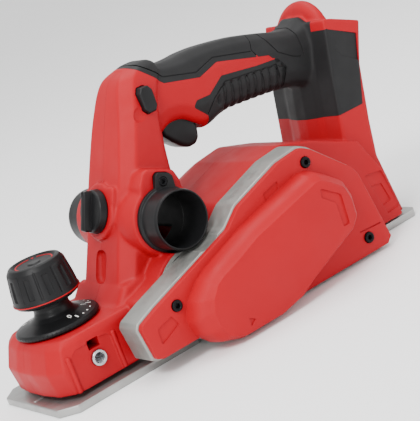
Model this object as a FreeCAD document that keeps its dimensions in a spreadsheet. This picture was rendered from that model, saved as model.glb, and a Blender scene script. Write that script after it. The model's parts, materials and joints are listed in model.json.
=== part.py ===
import FreeCAD, Part
# Cordless electric hand planer with an 82 mm cutter, as an assembly of separate pieces.
#
# Frame, in millimetres: the origin is on the sole plane at the middle of the sole's length and
# width, +Z is up, +X points to the heel, and -Y is the side that carries the belt drive.
# Every piece is built where it sits in the tool, with both shoes level: zero depth of cut.
import math
import os
import re

import Sketcher

# --------------------------------------------------------------------------------------------
# Driving dimensions: name, value
# --------------------------------------------------------------------------------------------
DIMS = {
    # shoes and cutter
    "sole_length": 292, "sole_half": 44, "shoe_thick": 5,
    "front_shoe_tail": -45.5, "rear_shoe_nose": -20, "shoe_chamfer": 10,
    "drum_x": -32, "drum_z": 28, "drum_radius": 27, "blade_tip": 27.95, "blade_half": 41,
    # depth knob
    "knob_x": -109, "dial_floor": 41.3, "dial_radius": 27, "spindle_radius": 5,
    # housing
    "block_floor": 8, "block_half": 38, "body_half": 44, "motor_x": 44, "motor_z": 52,
    "motor_radius": 26, "port_x": -32.8, "port_z": 78, "port_bore": 17.3, "port_outer": 19,
    "port_reach": 56, "boss_face": 37, "bay_half": 24, "lean": 12, "bay_x": 135, "bay_z": 48,
    # belt side
    "web_back": -46, "web_face": -56, "band_face": -66, "cover_face": -86, "flange": 4,
    "drive_radius": 8.5, "driven_radius": 15.5, "belt_gap": 0.3, "belt_thick": 2.2,
    # controls
    "trigger_x": 5, "trigger_z": 127, "trigger_half": 9.5, "lock_x": -8, "lock_z": 147,
    "diverter_x": -53.5, "diverter_z": 91.5, "diverter_tilt": 65.5,
    "fence_x": -109, "fence_z": 22, "insert_bore": 3, "insert_outer": 5, "insert_length": 12,
}

doc = FreeCAD.newDocument("hand_planer")
sheet = doc.addObject("Spreadsheet::Sheet", "dims")
for row, (word, value) in enumerate(DIMS.items(), 1):
    sheet.set(f"A{row}", word)
    sheet.set(f"B{row}", str(value))
    sheet.setAlias(f"B{row}", word)
doc.recompute()

TURN_TO = {                                    # turns a piece's own Z onto the named axis
    "Z": FreeCAD.Rotation(),
    "-Z": FreeCAD.Rotation(FreeCAD.Vector(1, 0, 0), 180),
    "Y": FreeCAD.Rotation(FreeCAD.Vector(1, 0, 0), -90),
    "-Y": FreeCAD.Rotation(FreeCAD.Vector(1, 0, 0), 90),
    "X": FreeCAD.Rotation(FreeCAD.Vector(0, 1, 0), 90),
}
nodes = {}                                     # node name -> document object


# --------------------------------------------------------------------------------------------
# Helpers: every size may be a number or an expression over the driving dimensions
# --------------------------------------------------------------------------------------------
def with_sheet(expression):
    """Prefix each driving dimension in an expression with the sheet's name."""
    return re.sub(r"[a-z_]+", lambda m: f"dims.{m[0]}" if m[0] in DIMS else m[0], str(expression))


def value_of(expression):
    """Return the number an expression stands for, for a sketch's first guess."""
    if isinstance(expression, (int, float)):
        return float(expression)
    text = re.sub(r"[a-z_]+", lambda m: str(DIMS[m[0]]) if m[0] in DIMS else m[0], expression)
    holder = doc.addObject("App::FeaturePython", "reading")
    holder.addProperty("App::PropertyFloat", "Reading")
    holder.setExpression("Reading", text)
    holder.recompute()
    reading = holder.Reading
    doc.removeObject(holder.Name)
    return reading


def bind(item, **sizes):
    """Bind properties of an object to expressions over the sheet."""
    for name, expression in sizes.items():
        item.setExpression(name, with_sheet(expression))
    return item


def place(item, at=(0, 0, 0), axis="Z"):
    """Turn an object's Z onto an axis and bind its position."""
    item.Placement = FreeCAD.Placement(FreeCAD.Vector(), TURN_TO.get(axis, axis))
    for letter, expression in zip("xyz", at):
        item.setExpression(f"Placement.Base.{letter}", with_sheet(expression))
    return item


def cylinder(name, radius, length, at, axis="Z"):
    """Make a Part::Cylinder that starts at a point and runs along an axis."""
    item = bind(doc.addObject("Part::Cylinder", name), Radius=radius, Height=length)
    return place(item, at, axis)


def block(name, low, high):
    """Make a Part::Box between two corners."""
    item = doc.addObject("Part::Box", name)
    for side, start, end in zip(("Length", "Width", "Height"), low, high):
        bind(item, **{side: f"({end}) - ({start})"})
    return place(item, low)


def boolean(kind, name, *shapes):
    """Make a Part boolean: Fuse, Common, or Cut of the first shape by all the others."""
    if kind == "Cut":
        item = doc.addObject("Part::Cut", name)
        item.Base = shapes[0]
        item.Tool = shapes[1] if len(shapes) == 2 else boolean("Fuse", f"{name}_tools", *shapes[1:])
        return item
    item = doc.addObject(f"Part::Multi{kind}", name)
    item.Shapes = list(shapes)
    return item


def group(name, *shapes):
    """Keep several separate solids together as one object."""
    item = doc.addObject("Part::Compound", name)
    item.Links = list(shapes)
    return item


def polygon_sketch(body, name, plane, outline, offset=0):
    """Draw a fully constrained closed outline on one of a body's origin planes."""
    sketch = body.newObject("Sketcher::SketchObject", name)
    origin_plane = next(o for o in body.Origin.OriginFeatures if o.Role == plane)
    sketch.AttachmentSupport = (origin_plane, [""])
    sketch.MapMode = "FlatFace"
    sketch.setExpression("AttachmentOffset.Base.z", with_sheet(offset))
    points = [FreeCAD.Vector(value_of(a), value_of(b), 0) for a, b in outline]
    for start, end in zip(points, points[1:] + points[:1]):
        sketch.addGeometry(Part.LineSegment(start, end))
    for index in range(len(points)):
        sketch.addConstraint(Sketcher.Constraint("Coincident", index, 2, (index + 1) % len(points), 1))
    for index, (corner, sizes) in enumerate(zip(points, outline)):
        for kind, number, size in (("DistanceX", corner.x, sizes[0]), ("DistanceY", corner.y, sizes[1])):
            slot = sketch.addConstraint(Sketcher.Constraint(kind, -1, 1, index, 1, number))
            if isinstance(size, str):
                sketch.setExpression(f"Constraints[{slot}]", with_sheet(size))
    return sketch


def prism(name, outline, start, end):
    """Pad an (x, z) outline from y = start to y = end."""
    body = doc.addObject("PartDesign::Body", name)
    pad = body.newObject("PartDesign::Pad", f"{name}_pad")
    pad.Profile = polygon_sketch(body, f"{name}_sketch", "XZ_Plane", outline, f"-({end})")
    bind(pad, Length=f"({end}) - ({start})")
    body.Tip = pad
    return body


def slab(name, outline, start, end):
    """Pad an (x, y) outline from z = start to z = end."""
    body = doc.addObject("PartDesign::Body", name)
    pad = body.newObject("PartDesign::Pad", f"{name}_pad")
    pad.Profile = polygon_sketch(body, f"{name}_sketch", "XY_Plane", outline, start)
    bind(pad, Length=f"({end}) - ({start})")
    body.Tip = pad
    return body


def loft(name, plane, sections):
    """Join outlines that have the same number of corners with flat-sided skins.

    sections: (offset along the plane's normal, outline) pairs.
    """
    body = doc.addObject("PartDesign::Body", name)
    sketches = [polygon_sketch(body, f"{name}_section", plane, outline, offset)
                for offset, outline in sections]
    skin = body.newObject("PartDesign::AdditiveLoft", f"{name}_loft")
    skin.Profile = sketches[0]
    skin.Sections = sketches[1:]
    skin.Ruled = True
    body.Tip = skin
    return body


def turned(name, profile, at=(0, 0, 0), axis="Z"):
    """Revolve a (radius, height) profile about an axis through a point."""
    body = doc.addObject("PartDesign::Body", name)
    spin = body.newObject("PartDesign::Revolution", f"{name}_spin")
    sketch = polygon_sketch(body, f"{name}_sketch", "XZ_Plane", profile)
    spin.Profile = sketch
    spin.ReferenceAxis = (sketch, ["V_Axis"])
    spin.Angle = 360
    body.Tip = spin
    return place(body, at, axis)


def ring(name, inner, outer, length, at, axis="Z"):
    """Make a plain ring, such as a bearing or a bush."""
    return turned(name, [(inner, 0), (outer, 0), (outer, length), (inner, length)], at, axis)


def screw(name, at, axis, head=3.5, head_length=3, shank=2, length=12):
    """Make a socket screw whose head's outer face is at a point and whose shank runs along axis."""
    body = turned(f"{name}_turned", [(0, 0), (head, 0), (head, head_length), (shank, head_length),
                                     (shank, length), (0, length)], at, axis)
    socket = doc.addObject("Part::Prism", f"{name}_socket")
    socket.Polygon = 6
    bind(socket, Circumradius=head * 0.6, Height=head_length * 0.7)
    place(socket, at, axis)
    return boolean("Cut", name, body, socket)


def mirror_outline(half):
    """Complete a half outline of (along, across) points with its mirror image."""
    return [(a, b) for a, b in half] + [(a, -b) for a, b in reversed(half)]


def node(name, item):
    """Name a finished piece: the label is the node's file name."""
    item.Label = name
    nodes[name] = item
    return item


# --------------------------------------------------------------------------------------------
# Shoes
# --------------------------------------------------------------------------------------------
half_sole = "sole_length / 2"
front_plate = slab("front_plate", [
    (f"-{half_sole} + shoe_chamfer", "-sole_half"), ("front_shoe_tail", "-sole_half"),
    ("front_shoe_tail", "sole_half"), (f"-{half_sole}", "sole_half"),
    (f"-{half_sole}", "-sole_half + shoe_chamfer")], 0, "shoe_thick")
drum_relief = cylinder("front_relief", "blade_tip + 1.2", "2 * sole_half + 2",
                       ("drum_x", "-sole_half - 1", "drum_z"), "Y")
spindle_boss = cylinder("spindle_boss", 10, "shoe_thick + 12", ("knob_x", 0, 0))
guide_posts = [cylinder("guide_post", 4, "shoe_thick + 15", (-76, side * 22, 0)) for side in (-1, 1)]
pointer = block("pointer", (f"-{half_sole} + 3", -1.2, "shoe_thick"),
                (f"-{half_sole} + 10", 1.2, "shoe_thick + 0.6"))
spindle_hole = cylinder("spindle_hole", "spindle_radius + 0.3", 40, ("knob_x", 0, 3))
v_groove = block("v_groove", (f"-{half_sole} - 1", -1.2, -1), (-60, 1.2, 1))
node("front_shoe", boolean("Cut", "front_shoe_cut",
                           boolean("Fuse", "front_shoe_solid", front_plate, spindle_boss, pointer,
                                   *guide_posts), drum_relief, spindle_hole, v_groove))

rear_plate = slab("rear_plate", [
    ("rear_shoe_nose", "-sole_half"), (f"{half_sole} - 4", "-sole_half"),
    (half_sole, "-sole_half + 4"), (half_sole, "sole_half"), ("rear_shoe_nose", "sole_half")],
    0, "shoe_thick")
rear_relief = cylinder("rear_relief", "blade_tip + 1.2", "2 * sole_half + 2",
                       ("drum_x", "-sole_half - 1", "drum_z"), "Y")
SHOE_SCREWS = [(14, -32), (14, 32), (118, -32), (118, 32)]
shoe_holes = [turned("shoe_hole", [(0, -1), (4.3, -1), (4.3, 0.8), (2.3, 2.8), (2.3, 6), (0, 6)],
                     (x, y, 0)) for x, y in SHOE_SCREWS]
node("rear_shoe", boolean("Cut", "rear_shoe_cut", rear_plate, rear_relief, *shoe_holes))
shoe_screws = [turned("shoe_screw", [(0, 0.3), (4.1, 0.3), (4.1, 0.8), (2.2, 2.7), (2.2, 14), (0, 14)],
                      (x, y, 0)) for x, y in SHOE_SCREWS]
node("shoe_screws", group("shoe_screw_set", *shoe_screws))

# --------------------------------------------------------------------------------------------
# Housing: the whole outer form, then its hollows, then the two halves
# --------------------------------------------------------------------------------------------
nose = loft("nose", "XY_Plane", [
    ("block_floor", mirror_outline([(-78, -38), (-121, -38), (-131, -36), (-139, -26), (-141, -10)])),
    (24, mirror_outline([(-78, -38), (-121, -38), (-134, -37), (-142, -27), (-144, -10)])),
    (37, mirror_outline([(-78, -37), (-118, -37), (-129, -34.5), (-136.5, -25), (-139, -9)])),
    (41, mirror_outline([(-78, -34), (-116, -34), (-125, -31), (-133, -22), (-135.5, -8)]))])
saddle = prism("saddle", [(-81, 39), (-81, 42), (-73, 50.5), (-60, 52), (-30, 52), (-30, 39)], -31, 31)
drum_crown = prism("drum_crown", [(-66, 36), (-62, 43.5), (-56, 51.5), (-48, 57.5), (-38, 61), (-26, 61.2),
                                  (-14, 63), (-8, 50)], "web_back", 42)
column = loft("column", "XY_Plane", [
    (z, mirror_outline([(rear, -rear_half), (front + 9, -side_half), (front, -front_half)]))
    for z, front, rear, front_half, side_half, rear_half in (
        (40, -77, -6, 21, 29, 27), (74, -61, -9, 20, 28, 25), (104, -47, -7, 20, 27, 23),
        (133, -33, -1, 18, 25, 21), (157, -21, 12, 14, 20, 18), (168, -9, 10, 7, 12, 11))])
HUMP = [(-74, 14), (-78, 42), (-14, 64), (-1, 74), (36, 86), (56, 88.5), (81, 81), (101, 72),
        (116, 66), (128, 40), (132, 6.5), (-2, 6.5), (-2, 14)]
hump_near = prism("hump_near", HUMP, "web_back", 24)
HUMP_FAR = [(-72, 14), (-76, 38), (-14, 58), (0, 67), (36, 78), (56, 80), (78, 74), (98, 66),
            (112, 60), (124, 38), (128, 6.5), (-2, 6.5), (-2, 14)]
hump_far = loft("hump_far", "XZ_Plane", [(-24, HUMP), ("-body_half", HUMP_FAR)])


def handle_sections(inset):
    """Return the handle's cross-sections along X, drawn in by an inset."""
    stations = ((-6, 168, 117, 16), (4, 168, 118, 16), (19, 161.5, 119, 16.5), (34, 161.5, 112.5, 17),
                (50, 161, 115.5, 17), (77, 157, 113.5, 17), (103, 149.5, 111, 17.5),
                (118, 147, 108, 18.5), (130, 149, 104, 21))
    sections = []
    for x, top, bottom, half in stations:
        top, bottom, half = top - inset, bottom + inset, half - inset
        sections.append((x, mirror_handle(top, bottom, half)))
    return sections


def mirror_handle(top, bottom, half):
    """Return a twelve-sided handle section as (y, z) corners."""
    tall = top - bottom
    right = [(half * 0.38, bottom), (half * 0.78, bottom + 0.09 * tall), (half, bottom + 0.28 * tall),
             (half, top - 0.33 * tall), (half * 0.82, top - 0.12 * tall), (half * 0.42, top)]
    return right + [(-y, z) for y, z in reversed(right)]


handle = loft("handle", "YZ_Plane", handle_sections(0))
handle_core = loft("handle_core", "YZ_Plane", handle_sections(2.5))
handle_hollow = loft("handle_hollow", "YZ_Plane", handle_sections(5))


def cradle_sections(inset):
    """Return the rear column's cross-sections up Z, drawn in by an inset."""
    levels = ((6.5, 101, 139, 40), (48, 110, 135, 37), (72, 114.5, 139.5, 36), (109, 121.5, 147, 36),
              (134, 128, 158, 35), (146, 131, 163, 34))
    return [(z, mirror_outline([
        (rear - inset, inset - half), (front + 8, inset - half),
        (front + 3 + inset, 4 + inset - half), (front + inset, -16)]))
        for z, front, rear, half in levels]


cradle_full = loft("cradle_full", "XY_Plane", cradle_sections(0))
cradle_core = loft("cradle_core", "XY_Plane", cradle_sections(2.5))
roof_slope = prism("roof_slope", [(128, 146), (139, 143.5), (166, 132), (166, 160), (128, 160)], -50, 50)
cradle = boolean("Cut", "cradle", cradle_full, roof_slope)
lean_turn = FreeCAD.Rotation(FreeCAD.Vector(0, 1, 0), DIMS["lean"])


def lean_place(item, out, across, up):
    """Place a piece in the battery bay's leaning frame: out of the rear face, across, up the rails."""
    item.Placement = FreeCAD.Placement(FreeCAD.Vector(), lean_turn)
    angle = "lean * 1 deg"
    base = (f"bay_x + ({out}) * cos({angle}) + ({up}) * sin({angle})", across,
            f"bay_z - ({out}) * sin({angle}) + ({up}) * cos({angle})")
    for letter, expression in zip("xyz", base):
        item.setExpression(f"Placement.Base.{letter}", with_sheet(expression))
    return item


def lean_block(name, low, high):
    """Make a box between two corners of the leaning frame."""
    item = doc.addObject("Part::Box", name)
    for side, start, end in zip(("Length", "Width", "Height"), low, high):
        bind(item, **{side: f"({end}) - ({start})"})
    return lean_place(item, *low)


def lean_turned(name, profile, out, across, up):
    """Revolve a profile about the leaning frame's outward direction."""
    item = turned(name, profile)
    lean_place(item, out, across, up)
    item.Placement = FreeCAD.Placement(item.Placement.Base, lean_turn.multiply(TURN_TO["X"]))
    return item


dome = lean_turned("dome", [(0, 0), (26, 0), (29.4, 2.5), (30, 7), (0, 7)], -22.5, 0, 79.5)

diverter_turn = FreeCAD.Rotation(FreeCAD.Vector(0, 1, 0), -DIMS["diverter_tilt"])


def diverter_place(item, side=0, across=0, out=0):
    """Place a piece on the diverter's axis, which is square to the column's front face."""
    item.Placement = FreeCAD.Placement(FreeCAD.Vector(), diverter_turn)
    angle = "diverter_tilt * 1 deg"
    base = (f"diverter_x + ({side}) * cos({angle}) - ({out}) * sin({angle})", across,
            f"diverter_z + ({side}) * sin({angle}) + ({out}) * cos({angle})")
    for letter, expression in zip("xyz", base):
        item.setExpression(f"Placement.Base.{letter}", with_sheet(expression))
    return item


def diverter_turned(name, profile):
    """Revolve a profile about the diverter's axis."""
    return diverter_place(turned(name, profile))


diverter_boss = diverter_turned("diverter_boss", [(0, -8), (18, -8), (17.2, 3), (0, 3)])
port_boss_profile = [(0, 0), (24, 0), (24, 8), (22.5, "boss_face - 18"), (0, "boss_face - 18")]
port_bosses = [turned("port_boss", port_boss_profile,
                      ("port_x", f"{side} * 18", "port_z"), axis) for side, axis in ((-1, "-Y"), (1, "Y"))]
tab_boss = prism("tab_boss", [(-46, 86), (-41.5, 103), (-37, 110), (-33, 111.5), (-15.5, 104), (-13, 98),
                              (-16, 86)],
                 "-boss_face", -18)
outer_form = boolean("Fuse", "outer_form", nose, saddle, drum_crown, column, hump_near, hump_far, handle,
                     cradle, dome, diverter_boss, tab_boss, *port_bosses)

# black moulded-on grips: a 2.5 mm skin over the handle and the rear column
TOP_GRIP = [(8, 172), (13, 163), (23, 152), (42, 144), (64, 145), (77, 153), (112, 141), (124, 141),
            (124, 172)]
RIB_GRIP = [(42, 100), (43, 119), (52, 123), (66, 137), (104, 134), (122, 138), (131, 138), (131, 100)]
handle_skin = boolean("Cut", "handle_skin", handle, handle_core)
top_grip_zone = prism("top_grip_zone", TOP_GRIP, -30, 30)
rib_grip_zone = prism("rib_grip_zone", RIB_GRIP, -30, 30)
grip_front = boolean("Common", "top_grip_skin", handle_skin, top_grip_zone)
rib_front = boolean("Common", "rib_grip_skin", handle_skin, rib_grip_zone)
node("top_grip", boolean("Cut", "top_grip_cut", grip_front, cradle_full, column, dome))
node("ribbed_grip", boolean("Cut", "ribbed_grip_cut", rib_front, cradle_full, column))
cradle_skin = boolean("Cut", "cradle_skin", cradle, cradle_core, dome)
SLEEVE = [(110, 84), (134, 84), (148, 92), (155, 124), (130, 137), (122, 141), (108, 128)]
sleeve_zone = prism("sleeve_zone", SLEEVE, -50, 50)
sleeve_front = boolean("Common", "sleeve_zone_skin", cradle_skin, sleeve_zone)
node("rear_sleeve", boolean("Cut", "rear_sleeve_cut", sleeve_front, handle_core,
                            lean_block("sleeve_bay", (-17, "-bay_half - 6", -60), (30, "bay_half + 6", 110))))

# hollows of the housing
motor_bay = cylinder("motor_bay", "motor_radius + 2.5", "36 - web_back + 1",
                     ("motor_x", "web_back - 1", "motor_z"), "Y")
fan_vents = [block("fan_vent", ("motor_x - 16", 34, f"motor_z + {step} * 6 - 1.5"),
                   ("motor_x + 16", "body_half + 1", f"motor_z + {step} * 6 + 1.5"))
             for step in (-3, -2, 2, 3)]
far_bearing_seat = cylinder("far_bearing_seat", 8.05, 6, ("motor_x", 35.5, "motor_z"), "Y")
drum_bay = cylinder("drum_bay", 31.6, "body_half - web_back + 2", ("drum_x", "web_back - 1", "drum_z"), "Y")
throat = block("throat", (-58, -24, 54), (-16, 24, "port_z"))
cross_duct = cylinder("cross_duct", "port_outer + 0.1", "2 * boss_face + 2",
                      ("port_x", "-boss_face - 1", "port_z"), "Y")
belly = block("belly", (6, "web_back + 4", 0), (118, 38, 26))
column_bay = loft("column_bay", "XY_Plane", [
    (z, mirror_outline([(rear, -half), (front, -half)]))
    for z, front, rear, half in ((102, -38, -12, 18), (133, -26, -5, 17), (152, -16, 6, 13))])
trigger_slot = prism("trigger_slot", [(-2.5, 117), (-2.5, 134), (31.5, 134), (31.5, 100), (2, 100)],
                     "-trigger_half - 0.5", "trigger_half + 0.5")
lock_bore = prism("lock_bore", [("lock_x - 5.3", "lock_z - 8.8"), ("lock_x + 5.3", "lock_z - 8.8"),
                                ("lock_x + 5.3", "lock_z + 8.8"), ("lock_x - 5.3", "lock_z + 8.8")], -40, 40)
nose_bay = cylinder("nose_bay", 10.6, 20, ("knob_x", 0, 0))
spindle_bore = cylinder("spindle_bore", "spindle_radius + 0.05", 50, ("knob_x", 0, 0))
spring_seat = cylinder("spring_seat", 9, 8, ("knob_x", 0, "dial_floor - 8"))
guide_bores = [cylinder("guide_bore", 4.3, 24, (-76, side * 22, 0)) for side in (-1, 1)]
nose_hollows = [block("nose_hollow", (-130, y0, 0), (-90, y1, 33)) for y0, y1 in ((-24, -13), (13, 24))]
fence_holes = [cylinder("fence_hole", "insert_outer", "insert_length + 1",
                        ("fence_x", f"{side} * (block_half + 1)", "fence_z"), axis)
               for side, axis in ((-1, "Y"), (1, "-Y"))]
gauge_windows = [block("gauge_window", ("fence_x - 4", y0, "fence_z + 6.5"),
                       ("fence_x + 4", y1, "fence_z + 13"))
                 for y0, y1 in ((-40, -32), (32, 40))]
rib_pockets = [block("rib_pocket", (-118, y0, 0), (-90, y1, 33)) for y0, y1 in ((-40, -36.5), (36.5, 40))]
diverter_bore = diverter_turned("diverter_bore", [(0, -20), (5.05, -20), (5.05, 4), (0, 4)])
bay_recess = lean_block("bay_recess", (-16, "-bay_half - 3.5", -46), (30, "bay_half + 3.5", 92))
TAB_SEAT = [(-37.4, 92), (-31.4, 105.9), (-28.5, 107.4), (-21.2, 104.3), (-19.2, 101.4), (-20, 88)]
TAB = [(-36.8, 92), (-31, 105.5), (-28.4, 106.9), (-21.5, 103.9), (-19.7, 101.2), (-20.5, 90)]
TAB_SCREW = (-27.3, 100.4)
port_tab_seat = prism("port_tab_seat", TAB_SEAT, -40, "3 - boss_face")
collar_seats = [cylinder("collar_seat", 20.9, 12, ("port_x", y, "port_z"), "Y") for y in (-49, 37)]
screw_pilots = [cylinder("screw_pilot", 2.25, 12, (x, y, 6)) for x, y in SHOE_SCREWS]
tab_pilot = cylinder("tab_pilot", 1.5, 12, (TAB_SCREW[0], "-boss_face", TAB_SCREW[1]), "Y")
HALF_AT = {(-122, 16): 34, (-66, 50): 24, (-28, 118): 22, (3, 161): 12, (60, 130): 14,
           (104, 128): 15, (92, 62): 32, (104, 40): 42}     # housing screw place: half-width there
boss_holes = [turned("boss_hole", [(0, -10), (2.05, -10), (2.05, HALF_AT[x, z] - 4), (3.6, HALF_AT[x, z] - 4),
                                   (3.6, 60), (0, 60)], (x, 0, z), "Y") for x, z in HALF_AT]
grips = (nodes["top_grip"], nodes["ribbed_grip"], nodes["rear_sleeve"])
housing = boolean("Cut", "housing", outer_form, *grips, motor_bay, far_bearing_seat, drum_bay, throat,
                  cross_duct, belly, column_bay, trigger_slot, lock_bore, nose_bay,
                  spindle_bore, spring_seat, diverter_bore, bay_recess, port_tab_seat,
                  tab_pilot, *collar_seats, *fan_vents, *guide_bores, *nose_hollows, *fence_holes,
                  *gauge_windows, *rib_pockets, *screw_pilots, *boss_holes)
handle_void = boolean("Cut", "handle_void", handle_hollow,
                      block("void_front", (-20, -40, 90), (10, 40, 180)),
                      block("void_boss_a", (52, -40, 100), (66, 40, 136)),
                      block("void_rear", (96, -40, 90), (140, 40, 180)))
hollow_housing = boolean("Cut", "hollow_housing", housing, handle_void)
near_half = block("near_half", (-200, -120, -20), (220, 0, 220))
far_half = block("far_half", (-200, 0, -20), (220, 120, 220))
node("left_housing", boolean("Common", "left_housing_part", hollow_housing, near_half))
node("right_housing", boolean("Common", "right_housing_part", hollow_housing, far_half))
node("housing_screws", group("housing_screw_set", *[
    screw("housing_screw", (x, HALF_AT[x, z] - 0.6, z), "-Y", 3.4, 3.2, 2, HALF_AT[x, z] + 8)
    for x, z in HALF_AT]))

# --------------------------------------------------------------------------------------------
# Cast drum housing, bearings and belt drive
# --------------------------------------------------------------------------------------------
BAND = [(-91, 13), (-86, 11), (-56, 11), (-46, 3), (-34, 1.5), (96, 1.5), (101, 6), (99, 17), (92, 54),
        (89, 60), (63, 84), (56, 88), (36, 86), (-2, 73.5), (-14, 64), (-78, 43), (-92, 37.5), (-94, 34.5)]
TRAY = [(-86, 16), (-54, 16), (-44, 7), (-34, 5.5), (95, 5.5), (96, 8), (88, 52), (61, 79), (54, 84),
        (37, 82), (0, 70), (-12, 60.5), (-76, 39.5), (-88, 35)]
band_block = prism("band_block", BAND, "band_face", "web_back")
tray = prism("tray", TRAY, "band_face - 1", "web_face")
drum_hub = cylinder("drum_hub", 17, 4, ("drum_x", "web_face - 4", "drum_z"), "Y")
motor_hub = cylinder("motor_hub", 13, 4, ("motor_x", "web_face - 4", "motor_z"), "Y")
arch_length = "body_half - 2.5 - web_back"
arch = turned("arch", [(29, 0), (31.5, 0), (31.5, arch_length), (29, arch_length)],
              ("drum_x", "web_back", "drum_z"), "Y")
end_plate = cylinder("end_plate", 31.5, 2.5, ("drum_x", "body_half - 2.6", "drum_z"), "Y")
stub_axle = cylinder("stub_axle", 5, 9, ("drum_x", "body_half - 9.5", "drum_z"), "Y")
COVER_SCREWS = [(-65, 37), (55, 77), (82, 13)]
cover_bosses = [cylinder("cover_boss", 5, "web_face - band_face", (x, "band_face", z), "Y")
                for x, z in COVER_SCREWS]
casting = boolean("Fuse", "casting", boolean("Cut", "band_tray", band_block, tray), drum_hub, motor_hub,
                  arch, end_plate, stub_axle, *cover_bosses)
chip_gate = block("chip_gate", (-72, -36, 40), (-30, 36, 70))
mouth_gate = block("mouth_gate", (-70, "web_back", -10), (6, 50, 6.5))
front_gate = block("front_gate", (-70, "web_back", -10), (-44, 50, 22))
port_clearances = [cylinder("port_clearance", 20.9, 40, ("port_x", y, "port_z"), "Y") for y in (-66, 28)]
bearing_seats = [
    cylinder("drum_seat", 13.05, 8, ("drum_x", "web_face - 5", "drum_z"), "Y"),
    cylinder("drum_way", 8, 30, ("drum_x", "web_face - 5", "drum_z"), "Y"),
    cylinder("motor_seat", 9.05, 8, ("motor_x", "web_face - 5", "motor_z"), "Y"),
    cylinder("motor_way", 6, 30, ("motor_x", "web_face - 5", "motor_z"), "Y")]
cover_pilots = [cylinder("cover_pilot", 2.05, 9, (x, "band_face", z), "Y") for x, z in COVER_SCREWS]
node("drum_housing", boolean("Cut", "drum_housing_cut", casting, chip_gate, mouth_gate, front_gate,
                             *port_clearances, *bearing_seats, *cover_pilots))
bearings = [ring("drum_bearing", 6.05, 13, 7, ("drum_x", "web_face - 4", "drum_z"), "Y"),
            ring("motor_bearing", 4.05, 9, 7, ("motor_x", "web_face - 4", "motor_z"), "Y"),
            ring("far_drum_bearing", 5.02, 9.5, 6, ("drum_x", "body_half - 9.4", "drum_z"), "Y"),
            ring("far_motor_bearing", 4.05, 8, 5, ("motor_x", 36, "motor_z"), "Y")]
node("bearings", group("bearing_set", *bearings))


def pulley(name, radius, bore, at):
    """Turn a ribbed-belt pulley: two rims and five V grooves between them."""
    profile = [(bore, 0), (radius + 1.2, 0), (radius + 1.2, 1.2), (radius, 1.6)]
    for rib in range(5):
        profile += [(radius - 1.2, 2.6 + 2 * rib), (radius, 3.6 + 2 * rib)]
    profile += [(radius + 1.2, 12), (radius + 1.2, 13.2), (bore, 13.2)]
    return turned(name, profile, at, "Y")


pulley_y = "web_face - 20.5"
node("driven_pulley", pulley("driven_wheel", DIMS["driven_radius"], 6, ("drum_x", pulley_y, "drum_z")))
node("drive_pulley", pulley("drive_wheel", DIMS["drive_radius"], 4, ("motor_x", pulley_y, "motor_z")))


def belt_loop(extra):
    """Return the face inside an open belt line that runs outside both pulleys."""
    small, large = DIMS["drive_radius"] + extra, DIMS["driven_radius"] + extra
    dx, dz = DIMS["motor_x"] - DIMS["drum_x"], DIMS["motor_z"] - DIMS["drum_z"]
    heading, tilt = math.atan2(dz, dx), math.acos((large - small) / math.hypot(dx, dz))

    def rim(centre_x, centre_z, radius, angle):
        return FreeCAD.Vector(centre_x + radius * math.cos(angle), 0, centre_z + radius * math.sin(angle))

    drum, motor = (DIMS["drum_x"], DIMS["drum_z"], large), (DIMS["motor_x"], DIMS["motor_z"], small)
    upper, lower = heading + tilt, heading - tilt
    edges = [Part.LineSegment(rim(*drum, upper), rim(*motor, upper)),
             Part.Arc(rim(*motor, upper), rim(*motor, heading), rim(*motor, lower)),
             Part.LineSegment(rim(*motor, lower), rim(*drum, lower)),
             Part.Arc(rim(*drum, lower), rim(*drum, heading + math.pi), rim(*drum, upper))]
    return Part.Face(Part.Wire([edge.toShape() for edge in edges]))


belt = doc.addObject("Part::Feature", "belt_body")
belt_band = belt_loop(DIMS["belt_gap"] + DIMS["belt_thick"]).cut(belt_loop(DIMS["belt_gap"]))
belt.Shape = belt_band.extrude(FreeCAD.Vector(0, 9.6, 0))
belt.Placement = FreeCAD.Placement(FreeCAD.Vector(0, DIMS["web_face"] - 18.7, 0), FreeCAD.Rotation())
node("drive_belt", belt)
node("drum_nut", ring("drum_nut_ring", 3.95, 7.5, 5, ("drum_x", "web_face - 25.6", "drum_z"), "Y"))
node("motor_nut", ring("motor_nut_ring", 2.95, 6, 4, ("motor_x", "web_face - 24.6", "motor_z"), "Y"))

# --------------------------------------------------------------------------------------------
# Belt cover
# --------------------------------------------------------------------------------------------
FLANGE = [(-89.5, 14), (-85, 12.2), (-56, 12.2), (-46, 4.2), (-34, 2.7), (95.5, 2.7), (99.5, 6.5),
          (97.6, 16.6), (90.7, 53.4), (88, 59.2), (62.4, 82.6), (55.6, 86.7), (36.2, 84.7),
          (-1.6, 72.4), (-14, 62.8), (-78, 41.7), (-91, 36.6), (-92.4, 34)]
BULGE_BASE = [(-58, 36), (-47, 45), (-38, 49.5), (-24, 54.5), (-6, 61), (46, 73.5), (53, 72.5), (61, 67),
              (71, 59), (74.5, 48), (74, 33), (67, 26), (24, 10), (13, 4.5), (-6, 1.5), (-38, 1.5),
              (-52, 6), (-60.5, 15), (-63, 25)]
BULGE_FACE = [(-49, 34), (-43, 41), (-37, 44), (-23, 48.5), (-6, 55), (46, 67), (51, 67), (58, 62.5),
              (66, 56), (68.5, 47), (68, 35), (62, 29), (22, 13), (11, 7.5), (-7, 4), (-36, 4),
              (-46, 8), (-51, 16), (-52, 26)]


def shrink(outline, toward, by):
    """Draw an outline in towards a point by a share of its size."""
    return [(a + (toward[0] - a) * by, b + (toward[1] - b) * by) for a, b in outline]


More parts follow.
